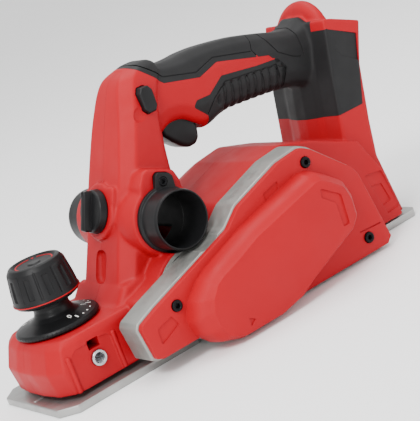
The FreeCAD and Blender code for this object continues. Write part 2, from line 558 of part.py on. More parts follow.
flange_plate = prism("flange_plate", FLANGE, "band_face - flange", "band_face")
BULGE_CENTRE = (5, 32)
bulge = loft("bulge", "XZ_Plane", [
    ("flange - band_face - 0.5", BULGE_BASE), ("-cover_face - 12", shrink(BULGE_BASE, BULGE_CENTRE, 0.02)),
    ("-cover_face - 2", BULGE_FACE), ("-cover_face", shrink(BULGE_FACE, BULGE_CENTRE, 0.03))])
bulge_hollow = loft("bulge_hollow", "XZ_Plane", [
    ("-band_face - 1", shrink(BULGE_BASE, BULGE_CENTRE, 0.07)),
    ("-cover_face - 12", shrink(BULGE_BASE, BULGE_CENTRE, 0.08)),
    ("-cover_face - 3", shrink(BULGE_FACE, BULGE_CENTRE, 0.06))])
counterbore_profile = [(0, -1), (3.7, -1), (3.7, 2), (2.25, 2), (2.25, 9), (0, 9)]
cover_counterbores = [turned("cover_counterbore", counterbore_profile,
                             (x, "band_face - flange", z), "Y") for x, z in COVER_SCREWS]
cover_panel = prism("cover_panel", [(-86, 18), (-62, 16), (-66, 32), (-84, 30)],
                    "band_face - 5", "band_face - 3")
node("belt_cover", boolean("Cut", "belt_cover_cut", boolean("Fuse", "cover_solid", flange_plate, bulge),
                           bulge_hollow, cover_panel, *cover_counterbores))
node("cover_screws", group("cover_screw_set", *[
    screw("cover_screw", (x, "band_face - flange - 1.4", z), "Y", 3.5, 3.3, 2, 11) for x, z in COVER_SCREWS]))

# --------------------------------------------------------------------------------------------
# Depth knob
# --------------------------------------------------------------------------------------------
knob_at = ("knob_x", 0, "dial_floor")
node("knob_dial", turned("dial_turned", [
    (5, 0), (25.5, 0), ("dial_radius", 1.2), ("dial_radius", 2.6), (26, 3.8), (16, 6.6), (12.5, 9),
    (11.3, 12.5), (11.8, 15.5), (5, 15.5)], knob_at))
node("knob_grip", boolean("Cut", "knob_grip_cut", turned("grip_turned", [
    (5, 15.5), (13, 15.5), (17, 16.6), (20, 18.2), (21.2, 20), (21.2, 20.7), (21, 22), (20.4, 28),
    (18.6, 39.5), (16.5, 42.4), (0, 42.9), (0, 40.1), (5, 40.1)], knob_at),
    *[cylinder("grip_flute", 1.2, 20, (f"knob_x + 21.6 * cos({turn} * 1 deg)", f"21.6 * sin({turn} * 1 deg)",
                                       "dial_floor + 21.5"))
      for turn in range(15, 375, 30)]))
node("knob_ring", ring("ring_turned", 21.2, 21.6, 0.7, ("knob_x", 0, "dial_floor + 20")))
node("depth_spindle", turned("spindle_turned", [
    (0, 0), (4.3, 0), ("spindle_radius", 0.7), ("spindle_radius", 72), (0, 72)], ("knob_x", 0, 9.3)))
node("detent_spring", ring("detent_spring_turned", 6.2, 8.4, 7, ("knob_x", 0, "dial_floor - 7.6")))

# --------------------------------------------------------------------------------------------
# Chip outlets and diverter
# --------------------------------------------------------------------------------------------
port_profile = [("port_bore", 0), ("port_outer", 0), ("port_outer", "port_reach - boss_face + 8"),
                ("port_bore", "port_reach - boss_face + 8")]


def outlet(name, side, axis):
    """Make an outlet tube that stands out of one side of the column, with its screw tab."""
    tube = turned(f"{name}_tube", port_profile, ("port_x", f"{side} * (boss_face - 8)", "port_z"), axis)
    collar = ring(f"{name}_collar", DIMS["port_bore"], 20.6, 3,
                  ("port_x", f"{side} * boss_face", "port_z"), axis)
    return tube, collar


near_tube = outlet("near", -1, "-Y")
port_tab = prism("port_tab", TAB, "-boss_face - 3", "2.9 - boss_face")
tab_hole = cylinder("tab_hole", 1.7, 12, (TAB_SCREW[0], "-boss_face - 4", TAB_SCREW[1]), "Y")
tab_head = cylinder("tab_head", 3.1, 3.5, (TAB_SCREW[0], "-boss_face - 4", TAB_SCREW[1]), "Y")
port_way = cylinder("port_way", "port_bore", 60, ("port_x", -75, "port_z"), "Y")
node("dust_port", boolean("Cut", "dust_port_cut", boolean("Fuse", "dust_port_solid", *near_tube, port_tab),
                          port_way, tab_hole, tab_head))
node("port_screw", screw("port_screw_piece", (TAB_SCREW[0], "-boss_face - 3.2", TAB_SCREW[1]), "Y",
                         3, 2.5, 1.5, 12))
node("far_outlet", boolean("Fuse", "far_outlet_solid", *outlet("far", 1, "Y")))
diverter_grip = diverter_turned("diverter_grip", [
    (0, 3.3), (13.6, 3.3), (14, 4.2), (13.2, 8), (12, 8.8), (0, 9.2)])
diverter_blade = bind(doc.addObject("Part::Box", "diverter_blade"), Length=27, Width=5.6, Height=8.5)
diverter_place(diverter_blade, -13.5, -2.8, 6.5)
diverter_shaft = diverter_turned("diverter_shaft", [(0, -12.5), (5, -12.5), (5, 4), (0, 4)])
blade_round = diverter_turned("blade_round", [(0, 0), (13.5, 0), (13.5, 20), (0, 20)])
node("diverter_knob", boolean("Fuse", "diverter_knob_solid", diverter_grip, diverter_shaft,
                              boolean("Common", "diverter_ridge", diverter_blade, blade_round)))
flap_disc = diverter_turned("flap_disc", [(0, -15), (10, -15), (10, -12.5), (0, -12.5)])
flap_wall = diverter_place(bind(doc.addObject("Part::Box", "flap_wall"), Length=2.4, Width=19, Height=14),
                           -1.2 * math.sqrt(0.5) + 9.5 * math.sqrt(0.5), -(1.2 + 9.5) * math.sqrt(0.5), -28)
flap_wall.Placement = FreeCAD.Placement(
    flap_wall.Placement.Base, diverter_turn.multiply(FreeCAD.Rotation(FreeCAD.Vector(0, 0, 1), 45)))
node("diverter_flap", boolean("Fuse", "diverter_flap_solid", flap_disc, flap_wall))

# --------------------------------------------------------------------------------------------
# Trigger, lock-off button and switch
# --------------------------------------------------------------------------------------------
TRIGGER = [(1.5, 124), (2.5, 118), (7, 112.5), (12.5, 107.5), (17.5, 104.3), (23, 104.6), (26.5, 108),
           (28, 114.5), (28, 121), (26, 125.5), (12, 131), (3, 130.5)]
trigger_pad = prism("trigger_pad", TRIGGER, "-trigger_half", "trigger_half")
pin_way = cylinder("pin_way", 2.05, 40, ("trigger_x", -20, "trigger_z"), "Y")
node("trigger", boolean("Cut", "trigger_cut", trigger_pad, pin_way))
node("trigger_pin", cylinder("trigger_pin_rod", 2, "2 * trigger_half + 1",
                             ("trigger_x", "-trigger_half - 0.5", "trigger_z"), "Y"))
node("trigger_spring", ring("trigger_spring_turned", 2.2, 3.2, 11.4, (19, 0, 129.6)))
LOZENGE = [(f"lock_x + {across}", f"lock_z + {up}") for across, up in (
    (-2.6, -8.4), (2.6, -8.4), (4.9, -5.4), (4.9, 5.4), (2.6, 8.4), (-2.6, 8.4), (-4.9, 5.4), (-4.9, -5.4))]
node("lock_off_button", prism("lock_bar", LOZENGE, -25.5, 25.5))
node("switch_module", block("switch_box", (14, -8.5, 141), (46, 8.5, 151)))
node("controller", group("controller_set", block("heat_sink", (84, -30, 8), (114, 30, 12)),
                         block("circuit_board", (82, -32, 12), (116, 32, 14)),
                         block("capacitors", (88, -20, 14), (110, 20, 24))))

# --------------------------------------------------------------------------------------------
# Motor
# --------------------------------------------------------------------------------------------
node("motor_stator", ring("stator_turned", 16, "motor_radius", 46, ("motor_x", -32, "motor_z"), "Y"))
node("motor_rotor", ring("rotor_turned", 4, 15.4, 42, ("motor_x", -30, "motor_z"), "Y"))
motor_shaft_profile = [(0, 0), (2.9, 0), (2.9, 4.2), (4, 4.2), (4, 121.5), (0, 121.5)]
node("motor_shaft", turned("motor_shaft_rod", motor_shaft_profile,
                           ("motor_x", "web_face - 24.7", "motor_z"), "Y"))
FAN_BLADES = 9
fan_hub = ring("fan_hub", 4, 8, 7, ("motor_x", 26.5, "motor_z"), "Y")
fan_disc = ring("fan_disc", 4, 24.5, 1.5, ("motor_x", 26.5, "motor_z"), "Y")
fan_blades = []
for index in range(FAN_BLADES):
    fan_blade = doc.addObject("Part::Box", "fan_blade")
    bind(fan_blade, Length=16.8, Width=6, Height=1.4)
    turn = FreeCAD.Rotation(FreeCAD.Vector(0, 1, 0), index * 360 / FAN_BLADES)
    hub = FreeCAD.Vector(DIMS["motor_x"], 27.5, DIMS["motor_z"])
    fan_blade.Placement = FreeCAD.Placement(hub + turn.multVec(FreeCAD.Vector(7.4, 0, 0)), turn)
    fan_blades.append(fan_blade)
node("cooling_fan", boolean("Fuse", "cooling_fan_solid", fan_hub, fan_disc, *fan_blades))

# --------------------------------------------------------------------------------------------
# Cutter drum: two blades held by wedge bars
# --------------------------------------------------------------------------------------------
drum_core = cylinder("drum_core", "drum_radius", "2 * blade_half", ("drum_x", "-blade_half", "drum_z"), "Y")
drum_shaft = turned("drum_shaft", [(0, 0), (3.9, 0), (3.9, 5.2), (6, 5.2), (6, 45), (0, 45)],
                    ("drum_x", "web_face - 25.8", "drum_z"), "Y")
drum_counterbore = cylinder("drum_counterbore", 9.55, 7.5, ("drum_x", "blade_half - 7.4", "drum_z"), "Y")
drum_shoulder = cylinder("drum_shoulder", 9, 5, ("drum_x", "-blade_half - 4.6", "drum_z"), "Y")


def drum_block(name, low, high, turn):
    """Make a box above the drum's axis, then turn it about that axis by some degrees."""
    item = block(name, low, high)
    corner = FreeCAD.Vector(*[value_of(size) for size in low])
    axis_point = FreeCAD.Vector(DIMS["drum_x"], 0, DIMS["drum_z"])
    rotation = FreeCAD.Rotation(FreeCAD.Vector(0, 1, 0), turn)
    for letter in "xyz":
        item.setExpression(f"Placement.Base.{letter}", None)
    item.Placement = FreeCAD.Placement(axis_point + rotation.multVec(corner - axis_point), rotation)
    return item


BLADE_TURNS = (70, 250)
BLADE_SCREW_Y = (-28, 0, 28)
pockets = [drum_block("blade_pocket", ("drum_x - 6", "-blade_half - 1", "drum_z + 15"),
                      ("drum_x + 4.6", "blade_half + 1", "drum_z + 30"), turn) for turn in BLADE_TURNS]
drum_solid = boolean("Fuse", "drum_solid", drum_core, drum_shaft, drum_shoulder)
node("cutter_drum", boolean("Cut", "cutter_drum_cut", drum_solid, drum_counterbore, *pockets))
node("blades", group("blade_set", *[
    drum_block("blade", ("drum_x + 3.4", "-blade_half", "drum_z + 19"),
               ("drum_x + 4.6", "blade_half", "drum_z + blade_tip - 0.4"), turn) for turn in BLADE_TURNS]))
clamp_bodies = []
clamp_screws = []
for turn in BLADE_TURNS:
    bar = drum_block("clamp_bar", ("drum_x - 5.8", "-blade_half + 0.5", "drum_z + 15.2"),
                     ("drum_x + 3.3", "blade_half - 0.5", "drum_z + 25.4"), turn)
    radial = FreeCAD.Rotation(FreeCAD.Vector(0, 1, 0), turn)
    centre = FreeCAD.Vector(DIMS["drum_x"], 0, DIMS["drum_z"])
    ways = []
    for y in BLADE_SCREW_Y:
        for holder, radius, start, length in ((ways, 2.6, 14, 20), (clamp_screws, 2.5, 15.4, 9)):
            rod = doc.addObject("Part::Cylinder", "clamp_rod")
            bind(rod, Radius=radius, Height=length)
            rod.Placement = FreeCAD.Placement(
                centre + radial.multVec(FreeCAD.Vector(-1.2, 0, start)) + FreeCAD.Vector(0, y, 0), radial)
            holder.append(rod)
    clamp_bodies.append(boolean("Cut", "clamp", bar, *ways))
node("blade_clamps", group("clamp_set", *clamp_bodies))
node("blade_screws", group("blade_screw_set", *clamp_screws))

# --------------------------------------------------------------------------------------------
# Battery bay and fence inserts
# --------------------------------------------------------------------------------------------
bay_shell = lean_block("bay_shell", (-15.9, "-bay_half - 3.4", -30), (1, "bay_half + 3.4", 91.8))
bay_way = lean_block("bay_way", (-13, "-bay_half", -40), (-2.4, "bay_half", 84))
bay_mouth = lean_block("bay_mouth", (-4, "4 - bay_half", -40), (12, "bay_half - 4", 80))
node("battery_rails", boolean("Cut", "battery_rails_cut", bay_shell, bay_way, bay_mouth))
node("terminal_block", lean_block("terminal_box", (-13, -13, 62), (-6, 13, 84)))
node("contact_blades", group("contact_set", *[
    lean_block("contact", (-11, f"{y} - 0.4", 48), (-7.5, f"{y} + 0.4", 62)) for y in (-9, -3, 3, 9)]))
inserts = [ring("insert", DIMS["insert_bore"], DIMS["insert_outer"] - 0.02, DIMS["insert_length"],
                ("fence_x", f"{side} * (block_half + 0.6)", "fence_z"), axis)
           for side, axis in ((-1, "Y"), (1, "-Y"))]
node("near_fence_insert", inserts[0])
node("far_fence_insert", inserts[1])

# --------------------------------------------------------------------------------------------
# Check every object, then write each piece
# --------------------------------------------------------------------------------------------
doc.recompute()
failed = [item.Name for item in doc.Objects if {"Invalid", "Error"} & set(item.State)]
if failed:
    raise RuntimeError(f"these objects failed: {failed}")
os.makedirs("parts", exist_ok=True)
for name, item in nodes.items():
    if item.Shape.isNull() or not item.Shape.isValid():
        raise RuntimeError(f"{name} has no valid shape")
    item.Shape.exportStep(f"parts/{name}.step")
    print(f"{name}: {len(item.Shape.Solids)} solid(s), {item.Shape.Volume / 1000:.1f} cm3")
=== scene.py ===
"""Looks of a cordless hand planer: housing, castings, grips, knob, outlets and finishes.

Shapes are modelled in millimetres in the CAD frame (+X heel, +Z up, -Y belt side) and become
metres when a piece is finished.
"""

import json
import logging
import math
from dataclasses import dataclass
from enum import Enum
from typing import Callable, ClassVar, Sequence

import bmesh
import bpy
from mathutils import Matrix, Vector


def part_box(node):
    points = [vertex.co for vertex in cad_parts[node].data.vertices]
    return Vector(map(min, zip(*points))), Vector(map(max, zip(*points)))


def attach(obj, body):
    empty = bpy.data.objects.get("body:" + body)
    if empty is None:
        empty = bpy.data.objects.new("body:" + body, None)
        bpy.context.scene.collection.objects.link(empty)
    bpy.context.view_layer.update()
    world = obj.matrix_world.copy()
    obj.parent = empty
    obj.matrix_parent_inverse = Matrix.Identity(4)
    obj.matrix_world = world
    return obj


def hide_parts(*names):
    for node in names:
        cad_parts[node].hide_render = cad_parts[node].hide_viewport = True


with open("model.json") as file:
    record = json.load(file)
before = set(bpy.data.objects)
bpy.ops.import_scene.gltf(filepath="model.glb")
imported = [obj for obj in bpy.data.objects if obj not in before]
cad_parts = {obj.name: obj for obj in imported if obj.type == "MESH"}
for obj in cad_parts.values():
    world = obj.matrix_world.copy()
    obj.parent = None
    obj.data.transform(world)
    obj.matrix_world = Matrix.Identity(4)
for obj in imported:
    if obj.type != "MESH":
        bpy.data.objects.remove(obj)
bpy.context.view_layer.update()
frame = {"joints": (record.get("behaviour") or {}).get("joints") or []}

log = logging.getLogger("planer")
MM = 0.001
Outline = Sequence[tuple[float, ...]]
Place = tuple[float, float, float]


def centre_of(node: str) -> Vector:
    """Return the middle of a CAD node's box, in millimetres."""
    low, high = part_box(node)
    return (low + high) * 0.5 / MM


def joint_at(name: str) -> Vector:
    """Return the point a joint turns about, in millimetres."""
    joint = next(entry for entry in frame["joints"] if entry["name"] == name)
    return Vector(joint["pos_m"]) / MM


# ---------------------------------------------------------------------------------------------
# Outlines
# ---------------------------------------------------------------------------------------------
class Plane(Enum):
    """The plane an outline lies on, as the axes of its two numbers and of its depth."""

    SIDE = (0, 2, 1)
    TOP = (0, 1, 2)
    FRONT = (1, 2, 0)

    def spot(self, a: float, b: float, depth: float) -> Vector:
        """Return the point in space of an outline's point at some depth."""
        place = Vector((0.0, 0.0, 0.0))
        for axis, value in zip(self.value, (a, b, depth)):
            place[axis] = value
        return place


def rounded(corners: Outline, radius: float = 0.0, steps: int = 4, closed: bool = True) -> list[tuple]:
    """Replace an outline's corners with arcs.

    Args:
        corners: points, each with an optional radius of its own as a third number.
        radius: the radius for the corners that name none.
        steps: segments in each arc.
        closed: whether the last point joins the first.

    Returns:
        The finer outline; a corner of no radius stays one point.
    """
    points = []
    count = len(corners)
    for index, corner in enumerate(corners):
        here = Vector(corner[:2])
        size = corner[2] if len(corner) == 3 else radius
        at_end = not closed and index in (0, count - 1)
        if size <= 0 or at_end:
            points.append(tuple(here))
            continue
        back = Vector(corners[index - 1][:2]) - here
        ahead = Vector(corners[(index + 1) % count][:2]) - here
        opening = back.angle(ahead)
        reach = min(size / math.tan(opening / 2), 0.49 * back.length, 0.49 * ahead.length)
        size = reach * math.tan(opening / 2)
        middle = here + (back.normalized() + ahead.normalized()).normalized() * size / math.sin(opening / 2)
        first = here + back.normalized() * reach - middle
        last = here + ahead.normalized() * reach - middle
        sweep = first.angle_signed(last, 0.0)
        for step in range(steps + 1):
            spoke = first.copy()
            spoke.rotate(Matrix.Rotation(-sweep * step / steps, 2))
            points.append(tuple(middle + spoke))
    return points


def area_of(corners: Outline) -> float:
    """Return an outline's signed area."""
    shifted = list(corners[1:]) + [corners[0]]
    return 0.5 * sum(a[0] * b[1] - b[0] * a[1] for a, b in zip(corners, shifted))


def inset(corners: Outline, by: float, radius: float = 0.0) -> list[tuple]:
    """Draw a cornered outline in by the same distance all round.

    Args:
        corners: points, each with an optional radius of its own.
        by: distance inwards.
        radius: the radius for the corners that name none.

    Returns:
        Corners with radii that keep the rounded outlines parallel.
    """
    turn = 1.0 if area_of(corners) > 0 else -1.0
    moved = []
    for index, corner in enumerate(corners):
        here = Vector(corner[:2])
        into = (here - Vector(corners[index - 1][:2])).normalized()
        out = (Vector(corners[(index + 1) % len(corners)][:2]) - here).normalized()
        first = Vector((-into.y, into.x)) * turn
        second = Vector((-out.y, out.x)) * turn
        shift = (first + second) * by / max(1 + first.dot(second), 0.15)
        size = corner[2] if len(corner) == 3 else radius
        bend = (into.x * out.y - into.y * out.x) * turn
        size = max(size - by, 0.12) if bend > 0 else size + by
        moved.append((here.x + shift.x, here.y + shift.y, size))
    return moved


def between(first: Outline, second: Outline, share: float) -> list[tuple]:
    """Return the outline part of the way from one to another of as many corners."""
    return [tuple(a + (b - a) * share for a, b in zip(one, two)) for one, two in zip(first, second)]


def oblong(left: float, right: float, low: float, high: float) -> list[tuple]:
    """Return the corners of an upright rectangle."""
    return [(left, low), (right, low), (right, high), (left, high)]


def mirrored(half: Outline) -> list[tuple]:
    """Complete a half outline of (along, across) points with its mirror image."""
    return list(half) + [(point[0], -point[1], *point[2:]) for point in reversed(half)]


def stations(rows: Sequence[tuple], steps: int) -> list[tuple]:
    """Add rows on a smooth curve through the given ones.

    Args:
        rows: tuples of numbers, in order.
        steps: new intervals in each given interval.

    Returns:
        The finer list, which holds every given row.
    """
    finer = []
    for index in range(len(rows) - 1):
        p0, p1 = rows[max(index - 1, 0)], rows[index]
        p2, p3 = rows[index + 1], rows[min(index + 2, len(rows) - 1)]
        for step in range(steps):
            t = step / steps
            finer.append(tuple(
                0.5 * (2 * b + (c - a) * t + (2 * a - 5 * b + 4 * c - d) * t * t
                       + (3 * b - a - 3 * c + d) * t ** 3)
                for a, b, c, d in zip(p0, p1, p2, p3)))
    return finer + [rows[-1]]


# ---------------------------------------------------------------------------------------------
# Solids
# ---------------------------------------------------------------------------------------------
class Joining(Enum):
    """How one solid meets others."""

    ADD = "UNION"
    CUT = "DIFFERENCE"
    COMMON = "INTERSECT"


def standing(place: Place, axis: Place) -> Matrix:
    """Return the frame at a place whose +Z runs along an axis."""
    return Matrix.Translation(place) @ Vector(axis).to_track_quat("Z", "Y").to_matrix().to_4x4()


def linked(name: str, data: bpy.types.ID) -> bpy.types.Object:
    """Return a new object in the scene that holds a mesh, a lamp or the like."""
    item = bpy.data.objects.new(name, data)
    bpy.context.scene.collection.objects.link(item)
    return item


class Solid:
    """A closed shape in millimetres that is shaped by mesh operators and by other solids."""

    def __init__(self, shape: bmesh.types.BMesh) -> None:
        """Take over a closed bmesh and point its faces outwards."""
        self.bm = shape
        bmesh.ops.recalc_face_normals(self.bm, faces=self.bm.faces)
        if self.bm.calc_volume(signed=True) < 0:
            bmesh.ops.reverse_faces(self.bm, faces=self.bm.faces)

    @classmethod
    def loft(cls, plane: Plane, sections: Sequence[tuple[float, Outline]]) -> "Solid":
        """Skin outlines that have the same number of points.

        Args:
            plane: the plane of the outlines.
            sections: (depth, outline) pairs, in order.

        Returns:
            The closed solid between the first and last outline.
        """
        bm = bmesh.new()
        rings = []
        for depth, outline in sections:
            corners = [bm.verts.new(plane.spot(a, b, depth)) for a, b, *_ in outline]
            rings.append([bm.edges.new(pair) for pair in zip(corners, corners[1:] + corners[:1])])
        for lower, upper in zip(rings, rings[1:]):
            bmesh.ops.bridge_loops(bm, edges=lower + upper)
        for ring in (rings[0], rings[-1]):
            bmesh.ops.contextual_create(bm, geom=ring)
        return cls(bm)

    @classmethod
    def pillow(cls, plane: Plane, corners: Outline, start: float, end: float, radius: float = 1.0,
               soft_start: float = 0.0, soft_end: float = 0.0, steps: int = 4) -> "Solid":
        """Extrude a rounded outline, with rounded rims.

        Args:
            plane: the plane of the outline.
            corners: the outline's corners.
            start: depth of the first face.
            end: depth of the last face.
            radius: radius of the corners that name none.
            soft_start: rim radius at the first face.
            soft_end: rim radius at the last face.
            steps: segments in each corner arc.

        Returns:
            The closed solid.
        """
        way = 1.0 if end > start else -1.0
        sections = []
        for face, soft, side in ((start, soft_start, 1.0), (end, soft_end, -1.0)):
            rim = []
            for step in range(4 if soft > 0 else 1):
                lean = math.pi / 2 * step / 3
                by = soft * (1 - math.sin(lean))
                depth = face + way * side * soft * (1 - math.cos(lean)) if soft > 0 else face
                rim.append((depth, rounded(inset(corners, by, radius), steps=steps)))
            sections += rim if side > 0 else rim[::-1]
        return cls.loft(plane, sections)

    @classmethod
    def lathe(cls, profile: Outline, at: Place = (0, 0, 0), axis: Place = (0, 0, 1), steps: int = 96,
              ring: bool = False) -> "Solid":
        """Turn a profile about an axis.

        Args:
            profile: (radius, height) points; it starts and ends on the axis unless it is a ring.
            at: the point of height 0.
            axis: direction of growing height.
            steps: facets round the turn.
            ring: whether the profile closes on itself, away from the axis.

        Returns:
            The closed turned solid.
        """
        bm = bmesh.new()
        corners = [bm.verts.new((r, 0, h)) for r, h, *_ in profile]
        pairs = zip(corners, corners[1:] + corners[:1]) if ring else zip(corners, corners[1:])
        edges = [bm.edges.new(pair) for pair in pairs]
        bmesh.ops.spin(bm, geom=corners + edges, cent=(0, 0, 0), axis=(0, 0, 1), angle=math.tau,
                       steps=steps, use_merge=True)
        bmesh.ops.remove_doubles(bm, verts=bm.verts, dist=1e-4)
        bmesh.ops.transform(bm, matrix=standing(at, axis), verts=bm.verts)
        return cls(bm)

    @classmethod
    def spun(cls, corners: Outline, at: Place = (0, 0, 0), axis: Place = (0, 0, 1), steps: int = 96,
             arc: int = 4) -> "Solid":
        """Turn an open profile about an axis, its corners rounded with so many segments each."""
        return cls.lathe(rounded(corners, steps=arc, closed=False), at, axis, steps)

    @classmethod
    def rod(cls, radius: float, start: Place, end: Place, steps: int = 48) -> "Solid":
        """Make a cylinder between two points, or a prism if it has few steps."""
        bm = bmesh.new()
        run = Vector(end) - Vector(start)
        bmesh.ops.create_cone(bm, cap_ends=True, segments=steps, radius1=radius, radius2=radius,
                              depth=run.length, matrix=standing(Vector(start) + run / 2, run))
        return cls(bm)

    @classmethod
    def crossrod(cls, radius: float, at: tuple[float, float], start: float, end: float,
                 steps: int = 64) -> "Solid":
        """Make a rod along Y.

        Args:
            radius: its radius.
            at: its axis as (x, z).
            start: Y of one end.
            end: Y of the other end.
            steps: facets round it.

        Returns:
            The closed rod.
        """
        x, z = at
        return cls.rod(radius, (x, start, z), (x, end, z), steps)

    @classmethod
    def block(cls, low: Place, high: Place, soft: float = 0.0, turn: Matrix | None = None) -> "Solid":
        """Make a box between two corners, with rounded edges, then turn it."""
        bm = bmesh.new()
        size = Vector(high) - Vector(low)
        place = Matrix.Translation(Vector(low) + size / 2) @ Matrix.Diagonal((*size, 1))
        bmesh.ops.create_cube(bm, size=1, matrix=place)
        box = cls(bm)
        if soft > 0:
            box.soften(soft)
        if turn is not None:
            box.move(turn)
        return box

    @classmethod
    def ball(cls, radii: Place, at: Place) -> "Solid":
        """Make an ellipsoid."""
        bm = bmesh.new()
        place = Matrix.Translation(at) @ Matrix.Diagonal((*radii, 1))
        bmesh.ops.create_icosphere(bm, subdivisions=4, radius=1, matrix=place)
        return cls(bm)

    def move(self, matrix: Matrix) -> "Solid":
        """Turn and shift the solid."""
        bmesh.ops.transform(self.bm, matrix=matrix, verts=self.bm.verts)
        return self

    def soften(self, width: float, segments: int = 3, angle: float = 28.0) -> "Solid":
        """Round every edge that is sharper than an angle."""
        sharp = [edge for edge in self.bm.edges
                 if edge.is_manifold and edge.calc_face_angle(0.0) > math.radians(angle)]
        bmesh.ops.bevel(self.bm, geom=sharp, offset=width, segments=segments, profile=0.5,
                        affect="EDGES", clamp_overlap=True, material=-1)
        return self

    def _object(self) -> bpy.types.Object:
        """Return the solid as a scratch object."""
        mesh = bpy.data.meshes.new("scratch")
        self.bm.to_mesh(mesh)
        return linked("scratch", mesh)

    def _evaluated(self, dress: Callable[[bpy.types.Object], None]) -> "Solid":
        """Return the solid as modifiers leave it.

        Args:
            dress: adds the modifiers to the scratch object.

        Returns:
            The new solid.
        """
        item = self._object()
        dress(item)
        depsgraph = bpy.context.evaluated_depsgraph_get()
        bm = bmesh.new()
        bm.from_mesh(item.evaluated_get(depsgraph).to_mesh())
        mesh = item.data
        bpy.data.objects.remove(item)
        bpy.data.meshes.remove(mesh)
        return Solid(bm)

    def joined(self, kind: Joining, others: Sequence["Solid"], solver: str = "MANIFOLD") -> "Solid":
        """Add, cut or keep the common part with each of several solids in turn.

        Args:
            kind: how they meet.
            others: the other solids.
            solver: the boolean method.

        Returns:
            The resulting solid.
        """
        tools = [other._object() for other in others]

        def dress(item: bpy.types.Object) -> None:
            """Stack one boolean for each other solid."""
            for tool in tools:
                step = item.modifiers.new("joining", "BOOLEAN")
                step.operation = kind.value
                step.solver = solver
                step.object = tool

        result = self._evaluated(dress)
        for tool in tools:
            mesh = tool.data
            bpy.data.objects.remove(tool)
            bpy.data.meshes.remove(mesh)
        before, after = self.bm.calc_volume(), result.bm.calc_volume()
        failed = not result.bm.faces or (others and abs(after - before) < 1e-6)
        if failed and solver == "MANIFOLD":
            log.info("a joining of kind %s is done the exact way", kind.name)
            return self.joined(kind, others, "EXACT")
        return result

    def add(self, *others: "Solid") -> "Solid":
        """Return this solid with others added."""
        return self.joined(Joining.ADD, others)

    def cut(self, *others: "Solid") -> "Solid":
        """Return this solid with others cut away."""
        return self.joined(Joining.CUT, others)

    def common(self, *others: "Solid") -> "Solid":
        """Return the part of this solid that lies in all the others."""
        return self.joined(Joining.COMMON, others)

    def moulded(self, voxel: float, rounds: int) -> "Solid":
        """Give every edge the small radius of a moulding.

        Args:
            voxel: size of the even new faces.
            rounds: rounds of smoothing.

        Returns:
            The softened solid.
        """
        def dress(item: bpy.types.Object) -> None:
            """Rebuild the surface on an even grid."""
            rebuild = item.modifiers.new("rebuild", "REMESH")
            rebuild.mode = "VOXEL"
            rebuild.voxel_size = voxel

        result = self._evaluated(dress)
        for _ in range(rounds):
            bmesh.ops.smooth_vert(result.bm, verts=result.bm.verts, factor=0.5,
                                  use_axis_x=True, use_axis_y=True, use_axis_z=True)
        return result

    def shaped(self, shift: Callable[[Vector, Vector], Vector]) -> "Solid":
        """Move each vertex by a rule of its place and outward direction."""
        self.bm.normal_update()
        moves = [shift(vert.co, vert.normal) for vert in self.bm.verts]
        for vert, move in zip(self.bm.verts, moves):
            vert.co += move
        return self


def piece(name: str, shape: Solid | Sequence[Solid], finish: "Finish", body: str,
          stands_for: Sequence[str] = (), slot: str = "", smooth: float = 32.0) -> bpy.types.Object:
    """Finish solids as one piece that rides on a body.

    Args:
        name: the piece's name.
        shape: one solid, or several that stay separate shells.
        finish: its surface.
        body: the CAD body it moves with.
        stands_for: the CAD nodes that it replaces.
        slot: the record's material slot; not used.
        smooth: edges sharper than this angle, in degrees, stay crisp.

    Returns:
        The finished object.
    """
    whole = bmesh.new()
    for part in shape if isinstance(shape, (list, tuple)) else [shape]:
        mesh = bpy.data.meshes.new("part")
        part.bm.to_mesh(mesh)
        whole.from_mesh(mesh)
        bpy.data.meshes.remove(mesh)
    bmesh.ops.scale(whole, vec=(MM, MM, MM), verts=whole.verts)
    mesh = bpy.data.meshes.new(name)
    whole.to_mesh(mesh)
    mesh.shade_smooth()
    mesh.set_sharp_from_angle(angle=math.radians(smooth))
    item = linked(name, mesh)
    mesh.materials.append(finish.material())
    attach(item, body)
    if stands_for:
        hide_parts(*stands_for)
    slot or finish.slot
    log.info("%s: %d faces", name, len(mesh.polygons))
    return item


# ---------------------------------------------------------------------------------------------
# Finishes
# ---------------------------------------------------------------------------------------------
def tone(red: int, green: int, blue: int) -> tuple[float, float, float, float]:
    """Return a display colour of 0 to 255 as scene-linear RGBA."""
    def channel(value: int) -> float:
        """Undo the display curve."""
        share = value / 255
        return share / 12.92 if share <= 0.04045 else ((share + 0.055) / 1.055) ** 2.4

    return (channel(red), channel(green), channel(blue), 1.0)


class Grain(Enum):
    """The fine relief of a surface."""

    SPARK = "even fine spark-eroded grain of a mould"
    PEBBLE = "soft pebbled grain of rubber"
    SAND = "coarse sandy skin of a casting"
    MILLED = "long cutter marks along the tool"
    TURNED = "fine rings across the tool"


def preset(node: bpy.types.Node, **values: float | Place) -> None:
    """Set a node's inputs, each named with underscores for its spaces."""
    for name, value in values.items():
        node.inputs[name.replace("_", " ")].default_value = value


